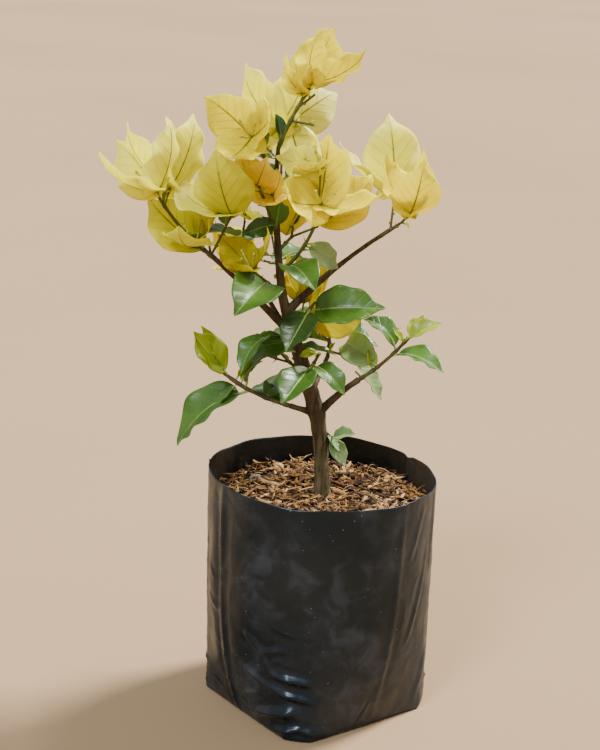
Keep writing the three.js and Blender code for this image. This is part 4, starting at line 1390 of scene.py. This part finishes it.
coirTints = {
    "tan": ((116, 82, 48), (144, 106, 66)), "light": ((160, 124, 82), (188, 152, 106)),
    "brown": ((78, 53, 31), (102, 72, 43)), "dark": ((40, 27, 17), (58, 40, 25)),
    "ochre": ((114, 78, 32), (140, 100, 44)), "grey": ((118, 108, 98), (148, 138, 126)),
    "white": ((228, 222, 208), (246, 242, 232))
}
coirOrder = list(coirTints)
shredShape = Shape(rolledShape(5, 4))
fibreShape = Shape(rolledShape(4, 7))
lumpShape = Shape(rolledShape(9, 7))
# Odd bits on the soil: tint, place, length, width, thickness and bearing
oddBits = [
    ("white", -51, 31, 3.4, 2.9, 2.6, 0), ("grey", -45, 21, 7.5, 5.0, 3.8, 20),
    ("tan", -25, 20, 11, 1.9, 1.6, 112), ("light", 15, 35, 12.5, 4.4, 2.6, -6),
    ("brown", 38, 47, 9.5, 6.0, 4.6, 10), ("light", 43, 24, 3.0, 2.6, 2.3, 0),
    ("light", 47, 35, 2.8, 2.2, 2.0, 40), ("white", 46, -22, 2.2, 1.9, 1.7, 0),
    ("light", 53, -3, 7.0, 2.2, 1.2, 70), ("light", 50, 4, 6.5, 2.0, 1.1, 95),
    ("ochre", -60, 27, 5.0, 3.0, 2.2, 60), ("brown", -8, 40, 8.0, 5.0, 4.0, 150),
    ("dark", 20, -30, 8.5, 5.5, 4.0, 30), ("brown", -30, -30, 7.5, 4.5, 3.6, 100),
    ("light", -38, 38, 9.0, 3.0, 1.4, 25)
]
# Odds of the tints where the bed is darker, where it is lighter, and for the fibres
coirChoices = ["tan", "light", "brown", "dark", "ochre"]
coirOdds = {
    "darker": (0.20, 0.08, 0.34, 0.30, 0.08), "lighter": (0.36, 0.22, 0.22, 0.08, 0.12),
    "fibre": (0.3, 0.3, 0.2, 0.05, 0.15)
}


def addShred(sheaf, shape, rng, spot, size, tint, pitch, curl, bearing=None):
    # A tapered, curling sliver lying on the bed
    length, wide, thick = size
    b = rng.random() * 2 * math.pi if bearing is None else math.radians(bearing)
    turn = Matrix.Rotation(b, 3, "Z") @ Matrix.Rotation(-pitch, 3, "Y")
    turn = turn @ Matrix.Rotation(rng.normal(0, 0.5), 3, "X")
    t = shape.points[:, 2]
    slim = np.clip(np.sin(math.pi * (0.08 + 0.84 * t)), 0.1, 1) ** 0.7
    x = (t - 0.5) * length
    y = shape.points[:, 0] * wide / 2 * slim + curl[0] * length * (t - 0.5) ** 2
    z = shape.points[:, 1] * thick / 2 * slim + curl[1] * length * ((t - 0.5) ** 2 - 0.12)
    local = np.stack([x, y, z], axis=1) + rng.normal(0, 0.07, (len(t), 3)) * wide
    sheaf.add(shape, local @ np.array(turn).T + np.array(spot), coirOrder.index(tint))


def addShreds(sheaf, rng):
    rule = soilRule
    for i in range(rule["shreds"]):
        away = rule["reach"] * math.sqrt(rng.random())
        b = rng.random() * 2 * math.pi
        if away < rule["stem"]:
            continue
        length = rule["shredLength"] + rule["shredMore"] * rng.random() ** 2
        pitch = rng.normal(0, 0.3)
        bearing = math.degrees(b)
        away -= max(0, away + length * 0.45 - soilEdge(bearing) + 2.0)
        x, y = polar(away, bearing)
        shade = roughAt(x, y, 0, 0.055, seed=12) + 0.25 * (x + y) / bagRule["rim"]
        odds = coirOdds["darker" if shade > 0.12 else "lighter"]
        tint = coirChoices[rng.choice(len(odds), p=odds)]
        spot = (x, y, soilHeight(x, y) - rule["bedDrop"] + 3.6 * rng.random())
        size = (length, 1.2 + 2.6 * rng.random() ** 1.5, 0.6 + 0.9 * rng.random())
        addShred(sheaf, shredShape, rng, spot, size, tint, pitch, rng.normal(0, 0.32, 2))


def addFibres(sheaf, rng):
    odds = coirOdds["fibre"]
    for i in range(soilRule["fibres"]):
        away = 8 + 60 * math.sqrt(rng.random())
        x, y = polar(away, math.degrees(rng.random() * 2 * math.pi))
        spot = (x, y, soilHeight(x, y) + 0.6 + 1.6 * rng.random())
        length = min(7 + 12 * rng.random(), 2 * (70 - away) + 4)
        tint = coirChoices[rng.choice(len(odds), p=odds)]
        pitch = rng.normal(0, 0.16)
        size = (length, *soilRule["fibre"])
        addShred(sheaf, fibreShape, rng, spot, size, tint, pitch, rng.normal(0, 0.5, 2))


def makeCoir():
    rng = np.random.default_rng(soilRule["seed"])
    sheaf = Sheaf()
    addShreds(sheaf, rng)
    addFibres(sheaf, rng)
    for tint, x, y, *size, bearing in oddBits:
        spot = (x, y, soilHeight(x, y) + soilRule["oddUp"])
        addShred(sheaf, lumpShape, rng, spot, size, tint, 0.1, (0.05, 0.1), bearing)
    return sheaf


def coirFinish(name, first, second):
    paint = Paint("coir_" + name)
    cloud = paint.noise(260, 4).ramp(0.3, 0.7)
    grain = paint.noise(1300, 3)
    colour = paint.mix(cloud, tone(*first), tone(*second))
    colour = paint.mix(paint.noise(40, 2).ramp(0.55, 0.8, 0.0, 0.35), colour, tone(70, 50, 34))
    bump = paint.bump(grain + cloud, 0.6, 0.0006)
    return paint.finish(paint.surface(colour, grain.ramp(0.3, 0.7, 0.75, 0.95), 0.2, Normal=bump))


meshOf("soil_bed", makeBed(), [coirFinish("bed", (30, 20, 13), (56, 38, 25))], ["soil"], "soil")
coirFinishes = [coirFinish(name, *tones) for name, tones in coirTints.items()]
makeCoir().grow("coir_shreds", coirFinishes, ["soil"], "soil")
print("soil made")


# Floor, light and camera
stageRule = {
    "floor": ((155, 130, 101), (149, 124, 95)), "floorSize": 20,
    "world": (0.95, 0.95, 0.96, 1.0), "worldLight": 0.75,
    "suns": {
        "key": {"towards": (-0.62, -0.42, -1.0), "energy": 10.2, "angle": 12, "colour": (1.0, 0.97, 0.92)},
        "fill": {"towards": (0.45, 0.8, -1.0), "energy": 2.8, "angle": 16, "colour": (0.90, 0.96, 1.0)}
    },
    "camera": {"place": (-17.25, -1040.77, 521.16), "pitch": 16, "roll": 2.0, "lens": 80.26, "sensor": 36}
}


def makeFloor():
    paint = Paint("floor")
    first, second = stageRule["floor"]
    colour = paint.mix(paint.noise(0.6, 3).ramp(0.3, 0.7), tone(*first), tone(*second))
    size = stageRule["floorSize"]
    bm = sheetShape(4, 4)
    bmesh.ops.scale(bm, vec=(size, size, 1), verts=bm.verts)
    floor = link("floor", meshFrom("floor", bm))
    floor.data.materials.append(paint.finish(paint.surface(colour, 0.9, 0.1)))


def makeLight():
    for name, row in stageRule["suns"].items():
        data = bpy.data.lights.new(name, "SUN")
        data.energy, data.angle, data.color = row["energy"], math.radians(row["angle"]), row["colour"]
        link(name, data).rotation_euler = Vector(row["towards"]).to_track_quat("-Z", "Y").to_euler()
    world = bpy.data.worlds.new("studio")
    world.use_nodes = True
    background = world.node_tree.nodes["Background"]
    background.inputs["Color"].default_value = stageRule["world"]
    background.inputs["Strength"].default_value = stageRule["worldLight"]
    bpy.context.scene.world = world


def makeCamera():
    row = stageRule["camera"]
    pitch, roll = math.radians(row["pitch"]), math.radians(row["roll"])
    ahead = Vector((0, math.cos(pitch), -math.sin(pitch)))
    right = Vector((1, 0, 0))
    up = right.cross(ahead)
    turnedRight = right * math.cos(roll) + up * math.sin(roll)
    turnedUp = up * math.cos(roll) - right * math.sin(roll)
    data = bpy.data.cameras.new("camera")
    data.lens, data.sensor_width, data.clip_end = row["lens"], row["sensor"], 100
    camera = link("camera", data)
    axes = Matrix((turnedRight, turnedUp, -ahead)).transposed().to_4x4()
    camera.matrix_world = Matrix.Translation(Vector(row["place"]) * metres) @ axes
    bpy.context.scene.camera = camera


makeFloor()
makeLight()
makeCamera()
print("stage set")
